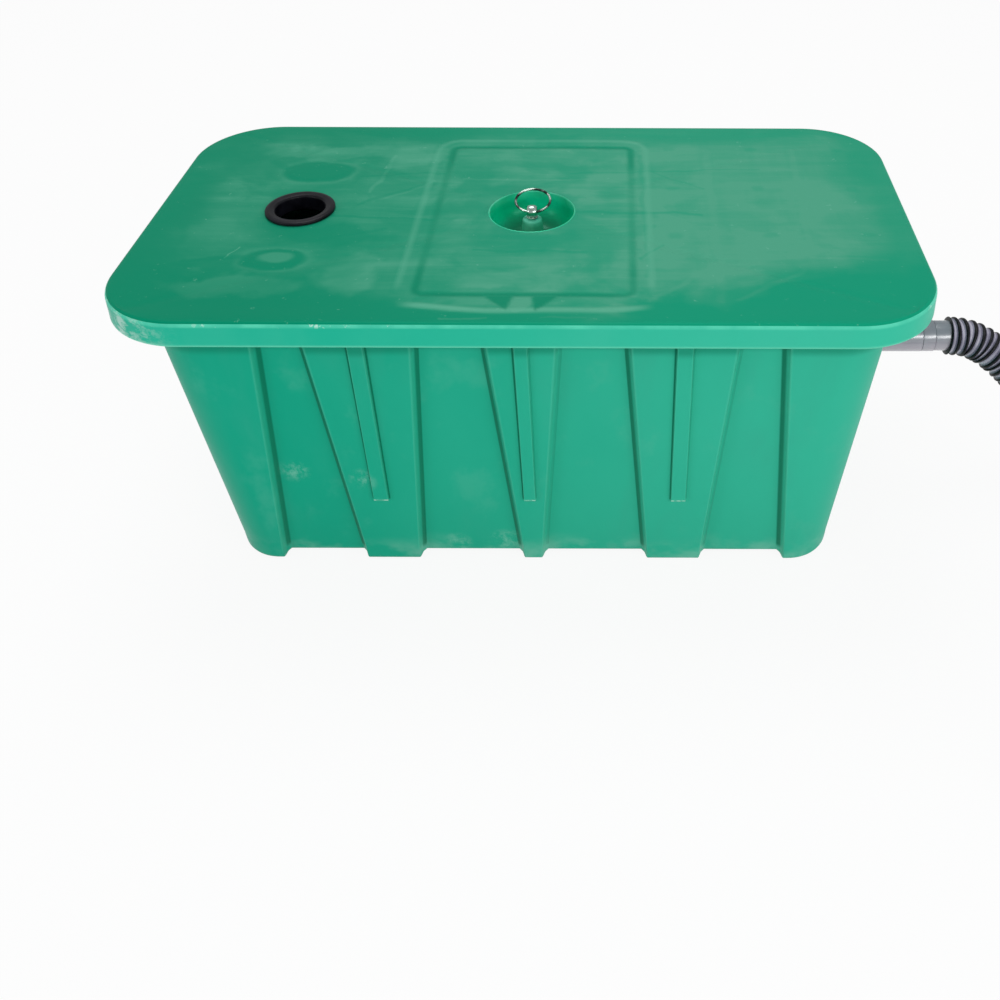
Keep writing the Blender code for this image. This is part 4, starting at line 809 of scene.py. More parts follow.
def build_tub(look, inner_look):
    recess = tub_weights(2)
    count = len(recess)
    rows = []
    # Weights of the painted shade at the feet of the slopes and of the painted highlights on the crests,
    # for each ring
    crease_shades = []
    crests = []

    def add(ring, marked=0.0, rib=0.0):
        rows.append(ring)
        crease_shades.append(np.maximum(tub_weights(4) * marked, tub_weights(6) * rib))
        crests.append(np.maximum(tub_weights(5) * marked, tub_weights(7) * rib))

    # Outside: the rounded foot with its skids, the body and the flange
    for out, up in quarter(5, 0):
        base = tub_ring(BODY_BOTTOM + TUB_BEND, TUB_BEND * (1 - out))
        base[:, 2] = BODY_BOTTOM * recess + TUB_BEND * up
        add(base, 0.5)
    rib_tips = np.exp(-(((RING_HEIGHTS - RIB_END) / 0.0014) ** 2))
    for z, bright in zip(RING_HEIGHTS, rib_tips):
        share = float(smooth((z - RIB_END + 0.0035) / 0.004))
        pad = PAD_HEIGHT * float(smooth((z - PAD_END + 0.006) / 0.006))
        add(tub_ring(z, rib=RIB_HEIGHT * share, pad=pad), 1.0, share)
        # Painted highlights at the ribs' lower ends
        crests[-1] = np.maximum(crests[-1], 1.9 * bright * tub_weights(3))
    e = FLANGE_EDGE
    for grow, z in ((-e * 2, BODY_TOP), (-e * 0.3, BODY_TOP + e * 0.3), (0.0, BODY_TOP + e),
                    (0.0, FLANGE_TOP - e), (-e * 0.3, FLANGE_TOP - e * 0.3), (-e * 1.5, FLANGE_TOP)):
        sizes = (FLANGE_HALF_X + grow, FLANGE_HALF_Y + grow, FLANGE_CORNER + grow)
        add(tub_ring(z, recess=0.0, sizes=sizes))
    # Inside: the mouth's edge, the walls and the rounded edge of the floor
    for z, extra in ((FLANGE_TOP, -INNER_EDGE), (FLANGE_TOP - INNER_EDGE, 0.0)):
        ring = tub_ring(BODY_TOP, TUB_WALL + extra)
        ring[:, 2] = z
        add(ring)
    outer_rows = len(rows) - 1
    for z in (BODY_TOP, *np.linspace(0.22, 0.03, 8), 0.016):
        add(tub_ring(z, TUB_WALL))
    for down, inward in quarter(4):
        ring = tub_ring(FLOOR_TOP + FLOOR_BEND, TUB_WALL + FLOOR_BEND * inward)
        ring[:, 2] = FLOOR_TOP + FLOOR_BEND * (1 - down)
        add(ring)
    faces = grid_faces(len(rows), count)
    slots = [0] * (outer_rows * count) + [1] * (len(faces) - outer_rows * count)
    below = underside(0, count)
    floor = underside((len(rows) - 1) * count, count)
    faces += below + floor
    slots += [0] * len(below) + [1] * len(floor)
    piece = made("tub_shell", np.concatenate(rows), faces, [look, inner_look], "tank", ["tub"],
                 slots, 50.0)
    paint(piece, "crease_shade", np.concatenate(crease_shades))
    paint(piece, "crest", np.concatenate(crests))


# Guides of the baffles and ledges of the basket, as in the tub's solid
BAFFLES_X = (-0.060, 0.172)
GUIDE_X = ((-0.006, -0.0025), (0.0025, 0.006))
GUIDE_Z = (FLOOR_TOP + 0.030, 0.200)
GUIDE_REACH = 0.007
GUIDE_SINK = 0.002
LEDGE_X = (-0.243, -0.113)
LEDGE_Z = (0.196, 0.202)
LEDGE_WIDTH = 0.017


def build_tub_inside(look):
    """The guides of the baffles and the ledges of the basket, moulded on the walls."""
    boxes = []
    for x in BAFFLES_X:
        for side in (-1, 1):
            for near, far in GUIDE_X:
                box = []
                for z in GUIDE_Z:
                    wall_y = half_width(z) - RECESS - TUB_WALL
                    y0, y1 = sorted((side * (wall_y - GUIDE_REACH), side * (wall_y + GUIDE_SINK)))
                    box += box_level(x + near, x + far, y0, y1, z)
                boxes.append(box)
    wall_y = half_width(LEDGE_Z[1]) - RECESS - TUB_WALL / 2
    for side in (-1, 1):
        y0, y1 = sorted((side * (wall_y - LEDGE_WIDTH), side * wall_y))
        boxes.append([corner for z in LEDGE_Z for corner in box_level(*LEDGE_X, y0, y1, z)])
    build_boxes("moulded_guides", boxes, look, "tank", 0.0006)


# Lid: the outlines of the two pointed hollows in front of the panel, then the panel and the cross
FINS = (
    ((-0.0265, -0.1245), (-0.0095, -0.1420), (-0.0050, -0.1245)),
    ((0.0080, -0.1245), (0.0112, -0.1440), (0.0270, -0.1245)),
)
PANEL_CENTRE = np.array([(PANEL[0] + PANEL[1]) / 2, (PANEL[2] + PANEL[3]) / 2])
PANEL_HALF = ((PANEL[1] - PANEL[0]) / 2, (PANEL[3] - PANEL[2]) / 2)
CROSS_SLOPE = 0.142 / 0.270
RIM = 0.0012
LIP = 0.0015
SEGMENTS = 96
TURN = 2 * np.pi * np.arange(SEGMENTS) / SEGMENTS
CIRCLE = np.stack([np.cos(TURN), np.sin(TURN)], 1)
INLET_LINE = CIRCLE * INLET_HOLE + [INLET_X, 0.0]


def panel_reach(x, y):
    return outside_of(x, y, PANEL_CENTRE, PANEL_HALF, PANEL_CORNER)


def lid_reach(x, y):
    return outside_of(x, y, (0.0, 0.0), (LID_HALF_X, LID_HALF_Y), LID_CORNER)


def fin_depth(x, y):
    """1 inside the two pointed hollows in front of the panel, fading to 0 at their edges."""
    deepest = np.full_like(x, -1.0)
    for corners in FINS:
        inside = np.full_like(x, 1.0)
        for (ax, ay), (bx, by) in zip(corners, corners[1:] + corners[:1]):
            length = math.hypot(bx - ax, by - ay)
            inside = np.minimum(inside, ((x - ax) * (by - ay) - (y - ay) * (bx - ax)) / -length)
        deepest = np.maximum(deepest, inside)
    return smooth((deepest + 0.0018) / 0.0034)


def lid_marks(x, y):
    """The shares of groove and of raised border at a place on the lid's upper face."""
    outside = panel_reach(x, y)
    middle = outside + GROOVE_WIDTH / 2
    groove = smooth((GROOVE_WIDTH / 2 - np.abs(middle)) / (GROOVE_WIDTH * 0.46))
    groove = groove * (1 - 0.45 * smooth((0.092 - np.abs(y + 0.004)) / 0.03))
    groove = np.maximum(groove, fin_depth(x, y))
    front = -0.1440 + 0.0055 * ((x - 0.01) / 0.085) ** 2 + 0.0010 * np.sin(70 * x)
    line = smooth((0.0052 - np.abs(y - front)) / 0.0046) * smooth((0.092 - np.abs(x - 0.004)) / 0.018)
    side = smooth((0.0045 - np.abs(outside - 0.0085)) / 0.0045) * smooth((y + 0.125) / 0.02)
    return groove, np.maximum(line, 0.42 * side)


def lid_height(x, y):
    """How far the lid's upper face lies below its top at a place."""
    groove, border = lid_marks(x, y)
    waves = 0.00022 * (np.sin(23 * x + 1.3) * np.sin(31 * y + 0.4) + 0.6 * np.sin(57 * x - 29 * y))
    marks = np.zeros_like(x)
    for sign in (-1, 1):
        away = np.abs(y - sign * CROSS_SLOPE * x) / math.hypot(1, CROSS_SLOPE)
        marks = np.maximum(marks, smooth((0.006 - away) / 0.006) * (np.hypot(x, y) > 0.05))
    for place, radii in ROUND_MARKS:
        ring = np.abs(np.hypot((x - place[0]) / radii[0], (y - place[1]) / radii[1]) - 0.85)
        marks = np.maximum(marks, smooth((0.2 - ring) / 0.2))
    edge = np.minimum(LID_HALF_X - np.abs(x), LID_HALF_Y - np.abs(y))
    fade = smooth((edge - 0.006) / 0.02)
    raised = 0.00035 * border * smooth((edge - 0.004) / 0.006)
    low = (waves + 0.00045) * fade + 0.00030 * marks * fade - raised
    return np.maximum(low, 0.0) + GROOVE_DEPTH * groove


def pocket_profile(grow):
    """The bowl of the pocket, from its rim down to its flat floor."""
    width = POCKET_RADIUS + grow - POCKET_FLAT_RADIUS
    height = POCKET_CURVE_HEIGHT + grow
    return [
        (POCKET_FLAT_RADIUS + width * out, POCKET_FLOOR - grow + height * up)
        for out, up in reversed(quarter(10, 0))
    ]


def dense_loop(line, spacing):
    """A closed line with more points, no further apart than the spacing."""
    fine = []
    for a, b in zip(line, np.roll(line, -1, 0)):
        pieces = max(1, int(np.hypot(*(b - a)) / spacing))
        fine.extend([a + (b - a) * k / pieces for k in range(pieces)])
    return np.array(fine)


LID_LINE = dense_loop(
    rounded_rectangle(LID_HALF_X - LID_FILLET, LID_HALF_Y - LID_FILLET, LID_CORNER - LID_FILLET, 24), 0.004
)


def lid_field():
    """Places on the lid's upper face between its loops, closer together around the panel."""
    fields = []
    for step, near in ((0.0034, False), (0.0019, True)):
        across = np.arange(-LID_HALF_X, LID_HALF_X, step)
        x, y = np.meshgrid(across, np.arange(-LID_HALF_Y, LID_HALF_Y, step))
        x, y = x.ravel(), y.ravel()
        outside = panel_reach(x, y)
        around = (outside < 0.030) & (outside > -0.010)
        keep = around if near else ~around
        keep &= lid_reach(x, y) < -LID_FILLET - step * 0.6
        keep &= np.hypot(x, y) > POCKET_RADIUS + RIM + 0.0015
        keep &= np.hypot(x - INLET_X, y) > INLET_HOLE + 0.0015
        keep &= (outside > 0.0009) | (outside < -GROOVE_WIDTH - 0.0009)
        fields.append(np.stack([x[keep], y[keep]], 1))
    return np.concatenate(fields)


def flat_mesh(loops, field):
    """Triangles between closed loops and loose points, and where each point came from."""
    flat = []
    edges = []
    for loop in loops:
        start = len(flat)
        flat.extend([Vector(p) for p in loop])
        edges.extend([(start + k, start + (k + 1) % len(loop)) for k in range(len(loop))])
    flat.extend([Vector(p) for p in field])
    out = delaunay_2d_cdt(flat, edges, [], 0, 1e-7)
    return np.array([list(v) for v in out[0]]), np.array(out[2]), out[3]


def clear_of_holes(x, y, pocket):
    """Whether a place lies outside a round hole at the pocket and outside the inlet hole."""
    slack = 0.0001
    return (np.hypot(x, y) > pocket - slack) & (np.hypot(x - INLET_X, y) > INLET_HOLE - slack)


class Shell:
    """The lid's mesh, grown in rows of points from the loops of its upper face."""

    def __init__(self):
        loops = [LID_LINE, CIRCLE * (POCKET_RADIUS + RIM), INLET_LINE]
        self.loop_starts = [0, len(loops[0]), len(loops[0]) + len(loops[1])]
        self.loop_lengths = [len(loop) for loop in loops]
        for inset in np.linspace(0.0, GROOVE_WIDTH, 7):
            corner = max(PANEL_CORNER - inset, 0.004)
            line = rounded_rectangle(PANEL_HALF[0] - inset, PANEL_HALF[1] - inset, corner, 8)
            loops.append(dense_loop(line, 0.003) + PANEL_CENTRE)
        plane, triangles, sources = flat_mesh(loops, lid_field())
        self.origin = {}
        for index, found in enumerate(sources):
            for source in found:
                self.origin.setdefault(source, index)
        x, y = plane.T
        middle_x, middle_y = plane[triangles].mean(1).T
        inside = lid_reach(middle_x, middle_y) < -LID_FILLET + 0.00005
        inside &= clear_of_holes(middle_x, middle_y, POCKET_RADIUS + RIM)
        self.groove, border = lid_marks(x, y)
        self.points = [Vector(p) for p in np.column_stack([plane, LID_TOP - lid_height(x, y)])]
        self.faces = [tuple(int(i) for i in triangle) for triangle in triangles[inside]]
        self.slots = [0] * len(self.faces)
        self.crests = list(border)

    def loop(self, number):
        """The points of one of the face's loops: its edge, the pocket or the inlet hole."""
        start = self.loop_starts[number]
        return [self.origin[start + k] for k in range(self.loop_lengths[number])]

    def add_face(self, corners, slot):
        self.faces.append(tuple(corners))
        self.slots.append(slot)

    def add_ring(self, row, crest=0.0):
        start = len(self.points)
        self.points.extend(row)
        self.crests.extend([crest] * len(row))
        return list(range(start, start + len(row)))

    def add_rows(self, ring, rows, slot, crests=()):
        """Faces from a ring through rows of new points, the last of which it gives."""
        for number, row in enumerate(rows):
            current = self.add_ring(row, crests[number] if number < len(crests) else 0.0)
            for k in range(len(row)):
                n = (k + 1) % len(row)
                self.add_face((ring[k], ring[n], current[n], current[k]), slot)
            ring = current
        return ring


def turned_rows(profile):
    return [[Vector((r * x, r * y, z)) for x, y in CIRCLE] for r, z in profile]


def add_skirt(shell):
    """The rounded top edge, the skirt's face, its rounded lower edge and its inner side."""
    tangents = np.roll(LID_LINE, -1, 0) - np.roll(LID_LINE, 1, 0)
    tangents /= np.hypot(tangents[:, 0], tangents[:, 1])[:, None]
    normals = np.stack([tangents[:, 1], -tangents[:, 0]], 1)

    def rows(profile):
        return [[Vector((x, y, z)) for x, y in LID_LINE + normals * grow] for grow, z in profile]

    profile = [(LID_FILLET * out, LID_TOP - LID_FILLET * down) for out, down in quarter(6)]
    profile += [(LID_FILLET, z) for z in np.linspace(LID_TOP - LID_FILLET, SKIRT_END + LIP, 5)[1:]]
    profile += [(LID_FILLET - LIP * back, SKIRT_END + LIP - LIP * down) for down, back in quarter(3)]
    top_edge = shell.add_rows(shell.loop(0), rows(profile[:3]), 0)
    skirt_end = shell.add_rows(top_edge, rows(profile[3:]), 1)
    inner = LID_FILLET - SKIRT_WALL
    profile = [(inner + 0.0004, SKIRT_END), (inner, SKIRT_END + 0.0006), (inner, LID_UNDER)]
    return shell.add_rows(skirt_end, rows(profile), 2)


def add_pocket(shell):
    """The pocket with its post: down from the rim, across the floor and up to the post's top."""
    profile = [(POCKET_RADIUS + RIM * (1 - out), LID_TOP - RIM * down) for out, down in quarter(3)]
    profile += pocket_profile(0.0) + [(POST_FOOT_RADIUS + 0.0015, POCKET_FLOOR)]
    # The rim's rows carry the weights of the painted highlight
    bowl = shell.add_rows(shell.loop(1), turned_rows(profile), 3, (0.9, 1.0, 0.35))
    foot = POST_FOOT_RADIUS
    profile = [(foot + 0.0004, POCKET_FLOOR + 0.0004), (foot, POCKET_FLOOR + 0.0015)]
    for share, down in ((1.0, 0.0022), (0.97, 0.0012), (0.88, 0.0005), (0.72, 0.0001), (0.4, 0.0)):
        profile.append((POST_RADIUS * share, POST_TOP - down))
    shell.add_face(shell.add_rows(bowl, turned_rows(profile), 4), 4)


def add_underside(shell, under_outer, inlet_low):
    """The bowl's outer side, and the flat underside between the skirt, the bowl and the inlet."""
    rows = turned_rows([(POCKET_RADIUS + POCKET_WALL, LID_UNDER)] + pocket_profile(POCKET_WALL))
    bowl_ring = shell.add_ring(rows[0])
    shell.add_face(shell.add_rows(bowl_ring, rows[1:], 2), 2)
    rings = [under_outer, bowl_ring, inlet_low]
    plane, triangles, sources = flat_mesh([[shell.points[i].xy for i in ring] for ring in rings], [])
    joined = [index for ring in rings for index in ring]
    for triangle in triangles:
        if clear_of_holes(*plane[triangle].mean(0), POCKET_RADIUS + POCKET_WALL):
            shell.add_face([joined[sources[i][0]] for i in triangle], 2)


def build_lid(looks):
    shell = Shell()
    under_outer = add_skirt(shell)
    add_pocket(shell)
    inlet_wall = [Vector((x, y, LID_UNDER)) for x, y in INLET_LINE]
    inlet_low = shell.add_rows(shell.loop(2), [inlet_wall], 2)
    add_underside(shell, under_outer, inlet_low)
    piece = made("lid_shell", shell.points, shell.faces, looks, "lid", ["lid"],
                 shell.slots, 40.0)
    groove = np.zeros(len(shell.points))
    groove[:len(shell.groove)] = shell.groove
    paint(piece, "groove", groove)
    paint(piece, "crest", shell.crests)


# Ribs under the lid: their ends, how near the bowl they start, and where the inlet stops them
LID_RIB_END = Vector((0.271, 0.133)) * 0.86
LID_RIB_START = 0.0375
LID_RIB_LEFT = -0.170
LID_RIB_HALF = 0.0015
LID_RIB_Z = (LID_UNDER - 0.006, LID_UNDER + 0.001)


def build_lid_ribs(look):
    """The cross of stiffening ribs under the lid, from the bowl out to the seal."""
    boxes = []
    for sign in (-1, 1):
        end = Vector((LID_RIB_END.x, sign * LID_RIB_END.y))
        direction = end.normalized()
        across = Vector((-direction.y, direction.x)) * LID_RIB_HALF
        for near, far in ((-LID_RIB_START, LID_RIB_LEFT), (LID_RIB_START, end.length)):
            box = []
            for z in LID_RIB_Z:
                for length, side in ((near, -1), (far, -1), (far, 1), (near, 1)):
                    box.append((*(direction * length + across * side), z))
            boxes.append(box)
    build_boxes("lid_ribs", boxes, look, "lid", 0.0005)


# Inlet seal: radii of its neck in the hole, its lower flange and its upper flange
SEAL_NECK = 0.0225
SEAL_LOWER = 0.0265
SEAL_UPPER = 0.0275


def build_inlet_seal(look):
    corners = (
        (INLET_BORE, LID_UNDER - 0.006, 0.0004),
        (SEAL_NECK, LID_UNDER - 0.006, 0.0006),
        (SEAL_LOWER, LID_UNDER - 0.003, 0.0006),
        (SEAL_LOWER, LID_UNDER - GAP, 0.0002),
        (SEAL_NECK, LID_UNDER - GAP, 0.0002),
        (SEAL_NECK, LID_TOP + GAP, 0.0002),
        (SEAL_UPPER, LID_TOP, 0.0003),
        (SEAL_UPPER, LID_TOP + 0.0022, 0.0012),
        (0.0248, LID_TOP + 0.0030, 0.0010),
        (SEAL_NECK, LID_TOP + 0.0026, 0.0006),
        (0.0210, LID_TOP + 0.0024, 0.0006),
        (INLET_BORE, LID_TOP + 0.0012, 0.0010),
    )
    profile = rounded_profile([corner[:2] for corner in corners], [corner[2] for corner in corners])
    points, faces = lathe(profile, 96, (INLET_X, 0, 0))
    made("inlet_ring", points, faces, [look], "lid", ["inlet_seal"])


# Eye bolt and pull ring
EYE_RADIUS = 0.0036
EYE_WIRE = 0.0015
EYE_BREADTH = 2.6
EYE_SHANK = 0.0030
EYE_END = 0.2252
EYE_COLLAR_RADIUS = 0.0045
EYE_COLLAR_LOW = POST_TOP + GAP
EYE_COLLAR_TOP = EYE_COLLAR_LOW + 0.0012
EYE_Z = EYE_COLLAR_TOP + EYE_RADIUS + 0.0006
EDGE = 0.0003
RING_Z = 0.2635
RING_RADIUS = 0.0139
RING_WIRE = 0.00105
RING_TILT = math.radians(13.5)


def build_eye(steel):
    low = EYE_COLLAR_LOW
    top = EYE_COLLAR_TOP
    profile = [
        (0.0001, EYE_END),
        (EYE_SHANK - EDGE, EYE_END),
        (EYE_SHANK, EYE_END + 0.0004),
        (EYE_SHANK, low),
        (EYE_COLLAR_RADIUS - 0.0002, low),
        (EYE_COLLAR_RADIUS, low + EDGE),
        (EYE_COLLAR_RADIUS, top - EDGE),
        (EYE_COLLAR_RADIUS - EDGE, top),
        (0.0028, top + 0.0003),
        (0.0021, top + 0.0009),
        (0.0001, top + 0.0010),
    ]
    points, faces = lathe(profile, 48, (0, 0, 0))
    start = len(points)
    loop, loop_faces = wire_ring(EYE_RADIUS, EYE_WIRE, Matrix.Rotation(math.radians(90), 3, "Y"), 64, 20)
    points += [Vector((p.x * EYE_BREADTH, p.y, p.z + EYE_Z)) for p in loop]
    faces += [tuple(start + i for i in face) for face in loop_faces]
    made("eye", points, faces, [steel], "lid", ["eye_bolt"])


def build_ring(steel):
    tilt = Matrix.Rotation(RING_TILT, 3, "X")
    points, faces = wire_ring(RING_RADIUS, RING_WIRE, Matrix.Identity(3), 120, 20)
    moved = [tilt @ (p + Vector((0, RING_RADIUS, 0))) + Vector((0, 0, RING_Z)) for p in points]
    made("ring", moved, faces, [steel], "ring", ["pull_ring"])


# Outlet: radii of the pipes, and where the chain of pieces steps
PIPE = 0.0115
BORE = 0.0095
COUPLING = 0.0136
COUPLING_GRIP = 0.016
STOP_LENGTH = 0.003
COLLAR = 0.0134
COLLAR_LENGTH = 0.011
SPIGOT = 0.0129
SPIGOT_LENGTH = 0.0115
SEAM = 0.0005
HOSE_START_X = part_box("pipe_coupling")[1][0] + COLLAR_LENGTH + SPIGOT_LENGTH


def pipe_piece(name, profile, look, node, radius=0.0004):
    points, faces = lathe(rounded_profile(profile, radius, 3), 72, (0, 0, OUTLET_Z), "X")
    made(name, points, faces, [look], "tank", [node])


def along_x(node):
    low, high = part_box(node)
    return low[0], high[0]


def build_outlet(grey):
    a, b = along_x("outlet_pipe")
    pipe_piece("pipe_run", [(BORE, a), (PIPE, a), (PIPE, b), (BORE, b)], grey, "outlet_pipe")
    a, b = along_x("pipe_coupling")
    stop = a + COUPLING_GRIP + GAP
    socket = PIPE + GAP
    profile = [(socket, a), (COUPLING, a), (COUPLING, b), (socket, b)]
    profile += [(socket, stop + STOP_LENGTH), (BORE, stop + STOP_LENGTH), (BORE, stop), (socket, stop)]
    pipe_piece("coupling", profile, grey, "pipe_coupling")
    shoulder = b + GAP
    a = along_x("hose_spigot")[0]
    collar_end = HOSE_START_X - SPIGOT_LENGTH
    inside_hose = HOSE_START_X + 0.003
    seam = collar_end - SEAM
    profile = [(BORE, a), (PIPE, a), (PIPE, shoulder), (COLLAR, shoulder), (COLLAR, seam)]
    profile += [(SPIGOT - SEAM, seam), (SPIGOT - SEAM, collar_end), (SPIGOT, collar_end)]
    profile += [(SPIGOT, inside_hose), (BORE, inside_hose)]
    pipe_piece("spigot", profile, grey, "hose_spigot", 0.0002)


# Drain hose: its sizes, the radii of its first rows on the spigot, and the points of its route
HOSE_PITCH = 0.0064
HOSE_ROWS = 14
HOSE_SIDES = 44
HOSE_FOLD = 0.0024
HOSE_CREASE = 0.0005
HOSE_OUTSIDE = 0.0164
HOSE_DRIFT = 0.20
HOSE_LEAN = 0.0016
HOSE_CUFF = (SPIGOT + GAP, 0.0150, 0.0163)
HOSE_ROUTE = [
    (HOSE_START_X + x, y, z)
    for x, y, z in (
        (0.0000, 0.000, OUTLET_Z),
        (0.0160, 0.000, 0.1428),
        (0.0315, -0.002, 0.1365),
        (0.0465, -0.006, 0.1265),
        (0.0615, -0.012, 0.1135),
        (0.0765, -0.020, 0.0985),
        (0.0915, -0.030, 0.0825),
        (0.1065, -0.043, 0.0665),
        (0.1205, -0.059, 0.0515),
        (0.1330, -0.079, 0.0385),
        (0.1435, -0.102, 0.0280),
        (0.1510, -0.128, 0.0210),
        (0.1545, -0.156, 0.0176),
        (0.1540, -0.184, 0.0171),
        (0.1495, -0.212, 0.0171),
        (0.1410, -0.239, 0.0171),
        (0.1295, -0.263, 0.0171),
        (0.1140, -0.2855, 0.0171),
        (0.0950, -0.305, 0.0171),
        (0.0735, -0.3215, 0.0171),
        (0.0505, -0.336, 0.0171),
    )
]


def smooth_route(points, spacing):
    """Evenly spaced points along a Catmull-Rom curve through the route's own points."""
    nodes = [Vector(p) for p in points]
    nodes = [nodes[0] * 2 - nodes[1]] + nodes + [nodes[-1] * 2 - nodes[-2]]
    fine = []
    steps = 12
    for a, b, c, d in zip(nodes, nodes[1:], nodes[2:], nodes[3:]):
        for k in range(steps):
            t = k / steps
            curve = 2 * b + (c - a) * t + (2 * a - 5 * b + 4 * c - d) * t**2
            fine.append(0.5 * (curve + (3 * b - a - 3 * c + d) * t**3))
    fine.append(nodes[-2])
    lengths = [0.0]
    for a, b in zip(fine, fine[1:]):
        lengths.append(lengths[-1] + (b - a).length)
    count = max(2, round(lengths[-1] / spacing))
    even = []
    at = 0
    for k in range(count + 1):
        wanted = lengths[-1] * k / count
        while at < len(lengths) - 2 and lengths[at + 1] < wanted:
            at += 1
        share = (wanted - lengths[at]) / (lengths[at + 1] - lengths[at])
        even.append(fine[at].lerp(fine[at + 1], share))
    return even, lengths[-1]


def build_hose(look):
    """The corrugated hose: black ribs with folded walls between them, unevenly pulled out."""
    path, length = smooth_route(HOSE_ROUTE, HOSE_PITCH / HOSE_ROWS)
    chance = random.Random(7)
    count = len(path)
    ribs = count // HOSE_ROWS + 2
    drift = [chance.uniform(-HOSE_DRIFT, HOSE_DRIFT) for _ in range(ribs)]
    lean = [Vector((chance.uniform(-1, 1), chance.uniform(-1, 1))) * HOSE_LEAN for _ in range(ribs)]
    points = []
    ridges = []
    folds = []
    side = Vector((0, 1, 0))
    for k, centre in enumerate(path):
        direction = (path[min(count - 1, k + 6)] - path[max(0, k - 6)]).normalized()
        side = (side - direction * side.dot(direction)).normalized()
        up = direction.cross(side)
        rib = k // HOSE_ROWS
        share = (k % HOSE_ROWS) / HOSE_ROWS
        slide = drift[rib] * (1 - share) + drift[rib + 1] * share
        tilt = lean[rib].lerp(lean[rib + 1], share)
        fade = min(1.0, k / (2 * HOSE_ROWS), (count - 1 - k) / (2 * HOSE_ROWS))
        # From 0 on a rib to 1 halfway to the next
        from_rib = min(share, 1 - share) * 2
        ridge = float(smooth((0.78 - from_rib) / 0.66))
        fold = max(0.0, 1 - abs(from_rib - 0.92) / 0.16)
        radius = HOSE_OUTSIDE - HOSE_FOLD * (1 - ridge) + HOSE_CREASE * fold
        if k < len(HOSE_CUFF):
            radius = HOSE_CUFF[k]
        for j in range(HOSE_SIDES):
            angle = 2 * math.pi * j / HOSE_SIDES
            around = Vector((math.cos(angle), math.sin(angle)))
            shift = (slide * HOSE_PITCH + tilt.dot(around)) * fade
            points.append(centre + direction * shift + (side * around.x + up * around.y) * radius)
            ridges.append(ridge)
            folds.append(fold)
    faces = grid_faces(count, HOSE_SIDES)
    faces.append(tuple(range(HOSE_SIDES)))
    faces.append(tuple(range((count - 1) * HOSE_SIDES, count * HOSE_SIDES)))
    piece = made("hose", points, faces, [look], "tank", ["drain_hose"], None, 60.0)
    paint(piece, "ridge", ridges)
    paint(piece, "fold", folds)


# Stage, light and camera
FLOOR_HALF = 6.0
FLOOR_GLOW = 0.91
LIGHTS = (
    ("right_light", (1.45, -2.2, 1.15), (0, 0, 0.15), (2.2, 0.6), 25),
    ("left_light", (-1.9, -1.4, 1.0), (0, 0, 0.15), (0.45, 0.45), 5),
    ("top_light", (-0.2, 0.6, 2.4), (0, 0, 0.2), (1.2, 1.2), 18),
)


def show_white(tree, lit, white_kind, rays, share, output):
    """Shows a share of plain white instead of the lit shader to two kinds of rays."""
    kinds = tree.nodes.new("ShaderNodeLightPath")
    either = tree.nodes.new("ShaderNodeMath")
    either.operation = "MAXIMUM"
    part = tree.nodes.new("ShaderNodeMath")
    part.operation = "MULTIPLY"
    part.inputs[1].default_value = share
    white = tree.nodes.new(white_kind)
    white.inputs["Strength"].default_value = 1.0
    mix = tree.nodes.new("ShaderNodeMixShader")
    for ray, socket in zip(rays, either.inputs):
        tree.links.new(kinds.outputs[ray], socket)
    tree.links.new(either.outputs[0], part.inputs[0])
    for node, socket in zip((part, lit, white), mix.inputs):
        tree.links.new(node.outputs[0], socket)
    tree.links.new(mix.outputs[0], tree.nodes[output].inputs["Surface"])


def build_stage():
    mesh = bpy.data.meshes.new("floor")
    size = FLOOR_HALF
    mesh.from_pydata(box_level(-size, size, -size, size, 0), [], [(0, 1, 2, 3)])
    floor = bpy.data.objects.new("floor", mesh)
    bpy.context.scene.collection.objects.link(floor)
    material = bpy.data.materials.new("floor_white")
    material.use_nodes = True
    tree = material.node_tree
    shader = tree.nodes["Principled BSDF"]
    shader.inputs["Base Color"].default_value = (0.90, 0.90, 0.90, 1)
    shader.inputs["Roughness"].default_value = 0.9
    rays = ("Is Camera Ray", "Is Glossy Ray")
    show_white(tree, shader, "ShaderNodeEmission", rays, FLOOR_GLOW, "Material Output")
    mesh.materials.append(material)

    world = bpy.data.worlds.new("studio")
    bpy.context.scene.world = world
    world.use_nodes = True
    background = world.node_tree.nodes["Background"]
    background.inputs["Color"].default_value = (0.97, 0.98, 1.0, 1)
    background.inputs["Strength"].default_value = 0.50
    rays = ("Is Camera Ray", "Is Transmission Ray")
    show_white(world.node_tree, background, "ShaderNodeBackground", rays, 1.0, "World Output")


def build_lights():
    for name, at, to, size, power in LIGHTS:
        data = bpy.data.lights.new(name, "AREA")
        data.energy = power
        data.shape = "RECTANGLE"
        data.size, data.size_y = size
        lamp = bpy.data.objects.new(name, data)
        lamp.location = at
        lamp.rotation_euler = (Vector(to) - Vector(at)).to_track_quat("-Z", "Y").to_euler()
        bpy.context.scene.collection.objects.link(lamp)


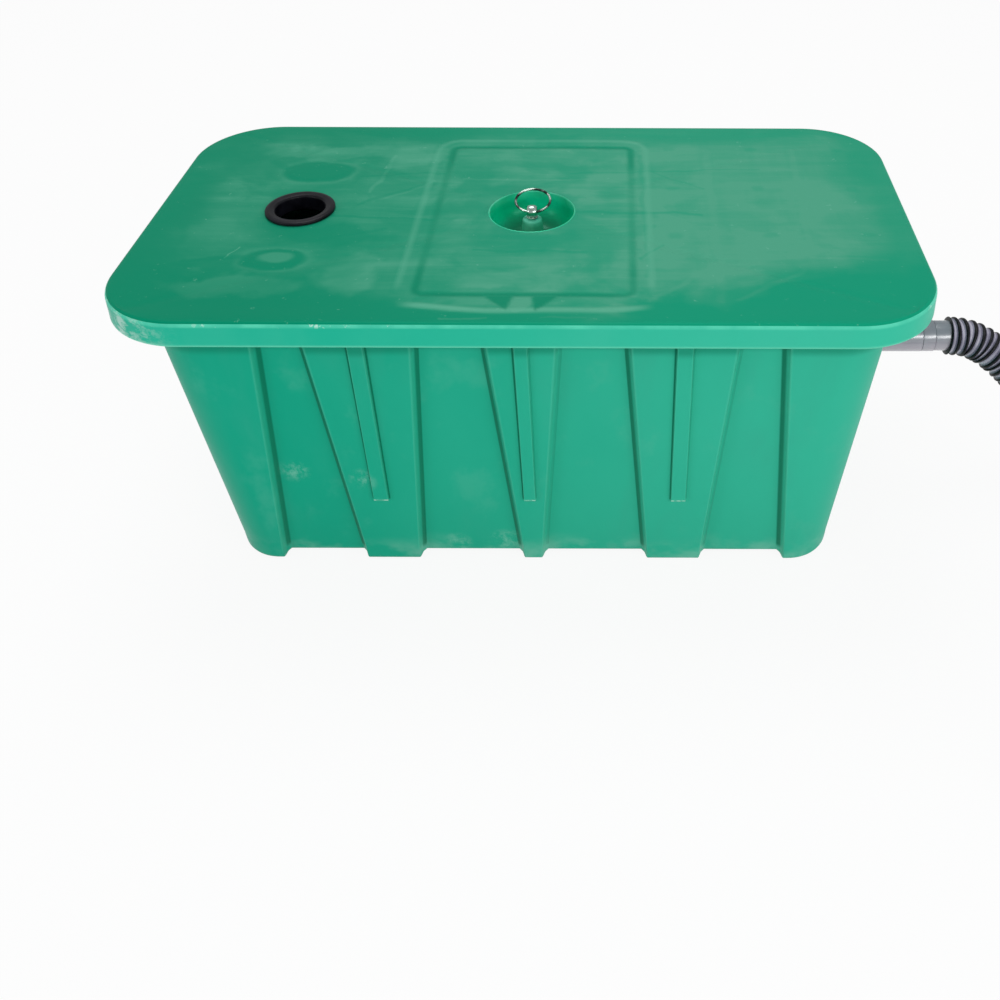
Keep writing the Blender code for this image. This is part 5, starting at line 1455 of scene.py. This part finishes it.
def build_camera():
    data = bpy.data.cameras.new("camera")
    data.sensor_width = SENSOR
    data.lens = SENSOR * FOCAL_PX / FRAME_PX
    data.shift_x = (FRAME_PX / 2 - CENTRE_X_PX) / FRAME_PX
    data.shift_y = (CENTRE_Y_PX - FRAME_PX / 2) / FRAME_PX
    data.clip_start = 0.01
    data.clip_end = 50
    camera = bpy.data.objects.new("camera", data)
    turn = Matrix.Rotation(CAMERA_YAW, 3, "Z")
    forward = turn @ Vector((0, math.cos(CAMERA_PITCH), -math.sin(CAMERA_PITCH)))
    up = turn @ Vector((0, math.sin(CAMERA_PITCH), math.cos(CAMERA_PITCH)))
    right = turn @ Vector((1, 0, 0))
    rolled_right = right * math.cos(CAMERA_ROLL) + up * math.sin(CAMERA_ROLL)
    rolled_up = up * math.cos(CAMERA_ROLL) - right * math.sin(CAMERA_ROLL)
    axes = Matrix((rolled_right, rolled_up, -forward)).transposed()
    camera.matrix_world = Matrix.Translation(CAMERA_AT) @ axes.to_4x4()
    bpy.context.scene.collection.objects.link(camera)
    bpy.context.scene.camera = camera


def dress(look, *names):
    """Gives solids that stay as they are their finished material."""
    for name in names:
        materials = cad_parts[name].data.materials
        materials.clear()
        materials.append(look)


def main():
    bpy.context.scene.view_settings.view_transform = "Standard"
    build_stage()
    build_lights()
    build_camera()

    inside = inside_material()
    rubber = plain_material("seal_rubber", (4, 4, 10), (20, 20, 28), 0.38, Specular_IOR_Level=0.2)
    foam = plain_material("foam", (24, 24, 26), (48, 48, 52), 0.9, 120.0, 0.5)
    steel = steel_material("bright_steel", 0.34)
    grey = pipe_material()
    dark = plain_material("dark_fitting", (34, 36, 42), (52, 54, 60), 0.40)

    build_tub(tub_material(), inside)
    build_tub_inside(inside)
    build_lid([lid_top_material(), skirt_material(), inside, pocket_material(), post_material()])
    build_lid_ribs(inside)
    build_inlet_seal(rubber)
    build_eye(steel)
    build_ring(steel_material("ring_steel", 0.46))
    build_outlet(grey)
    build_hose(hose_material())
    dress(inside, "inlet_baffle", "outlet_baffle", "strainer_basket")
    dress(dark, "bulkhead_fitting", "bulkhead_nut", "outlet_elbow", "hose_end_cuff")
    dress(grey, "dip_pipe")
    dress(foam, "lid_seal")
    dress(rubber, "bulkhead_gasket")
    dress(steel, "eye_nut", "eye_washer")


main()
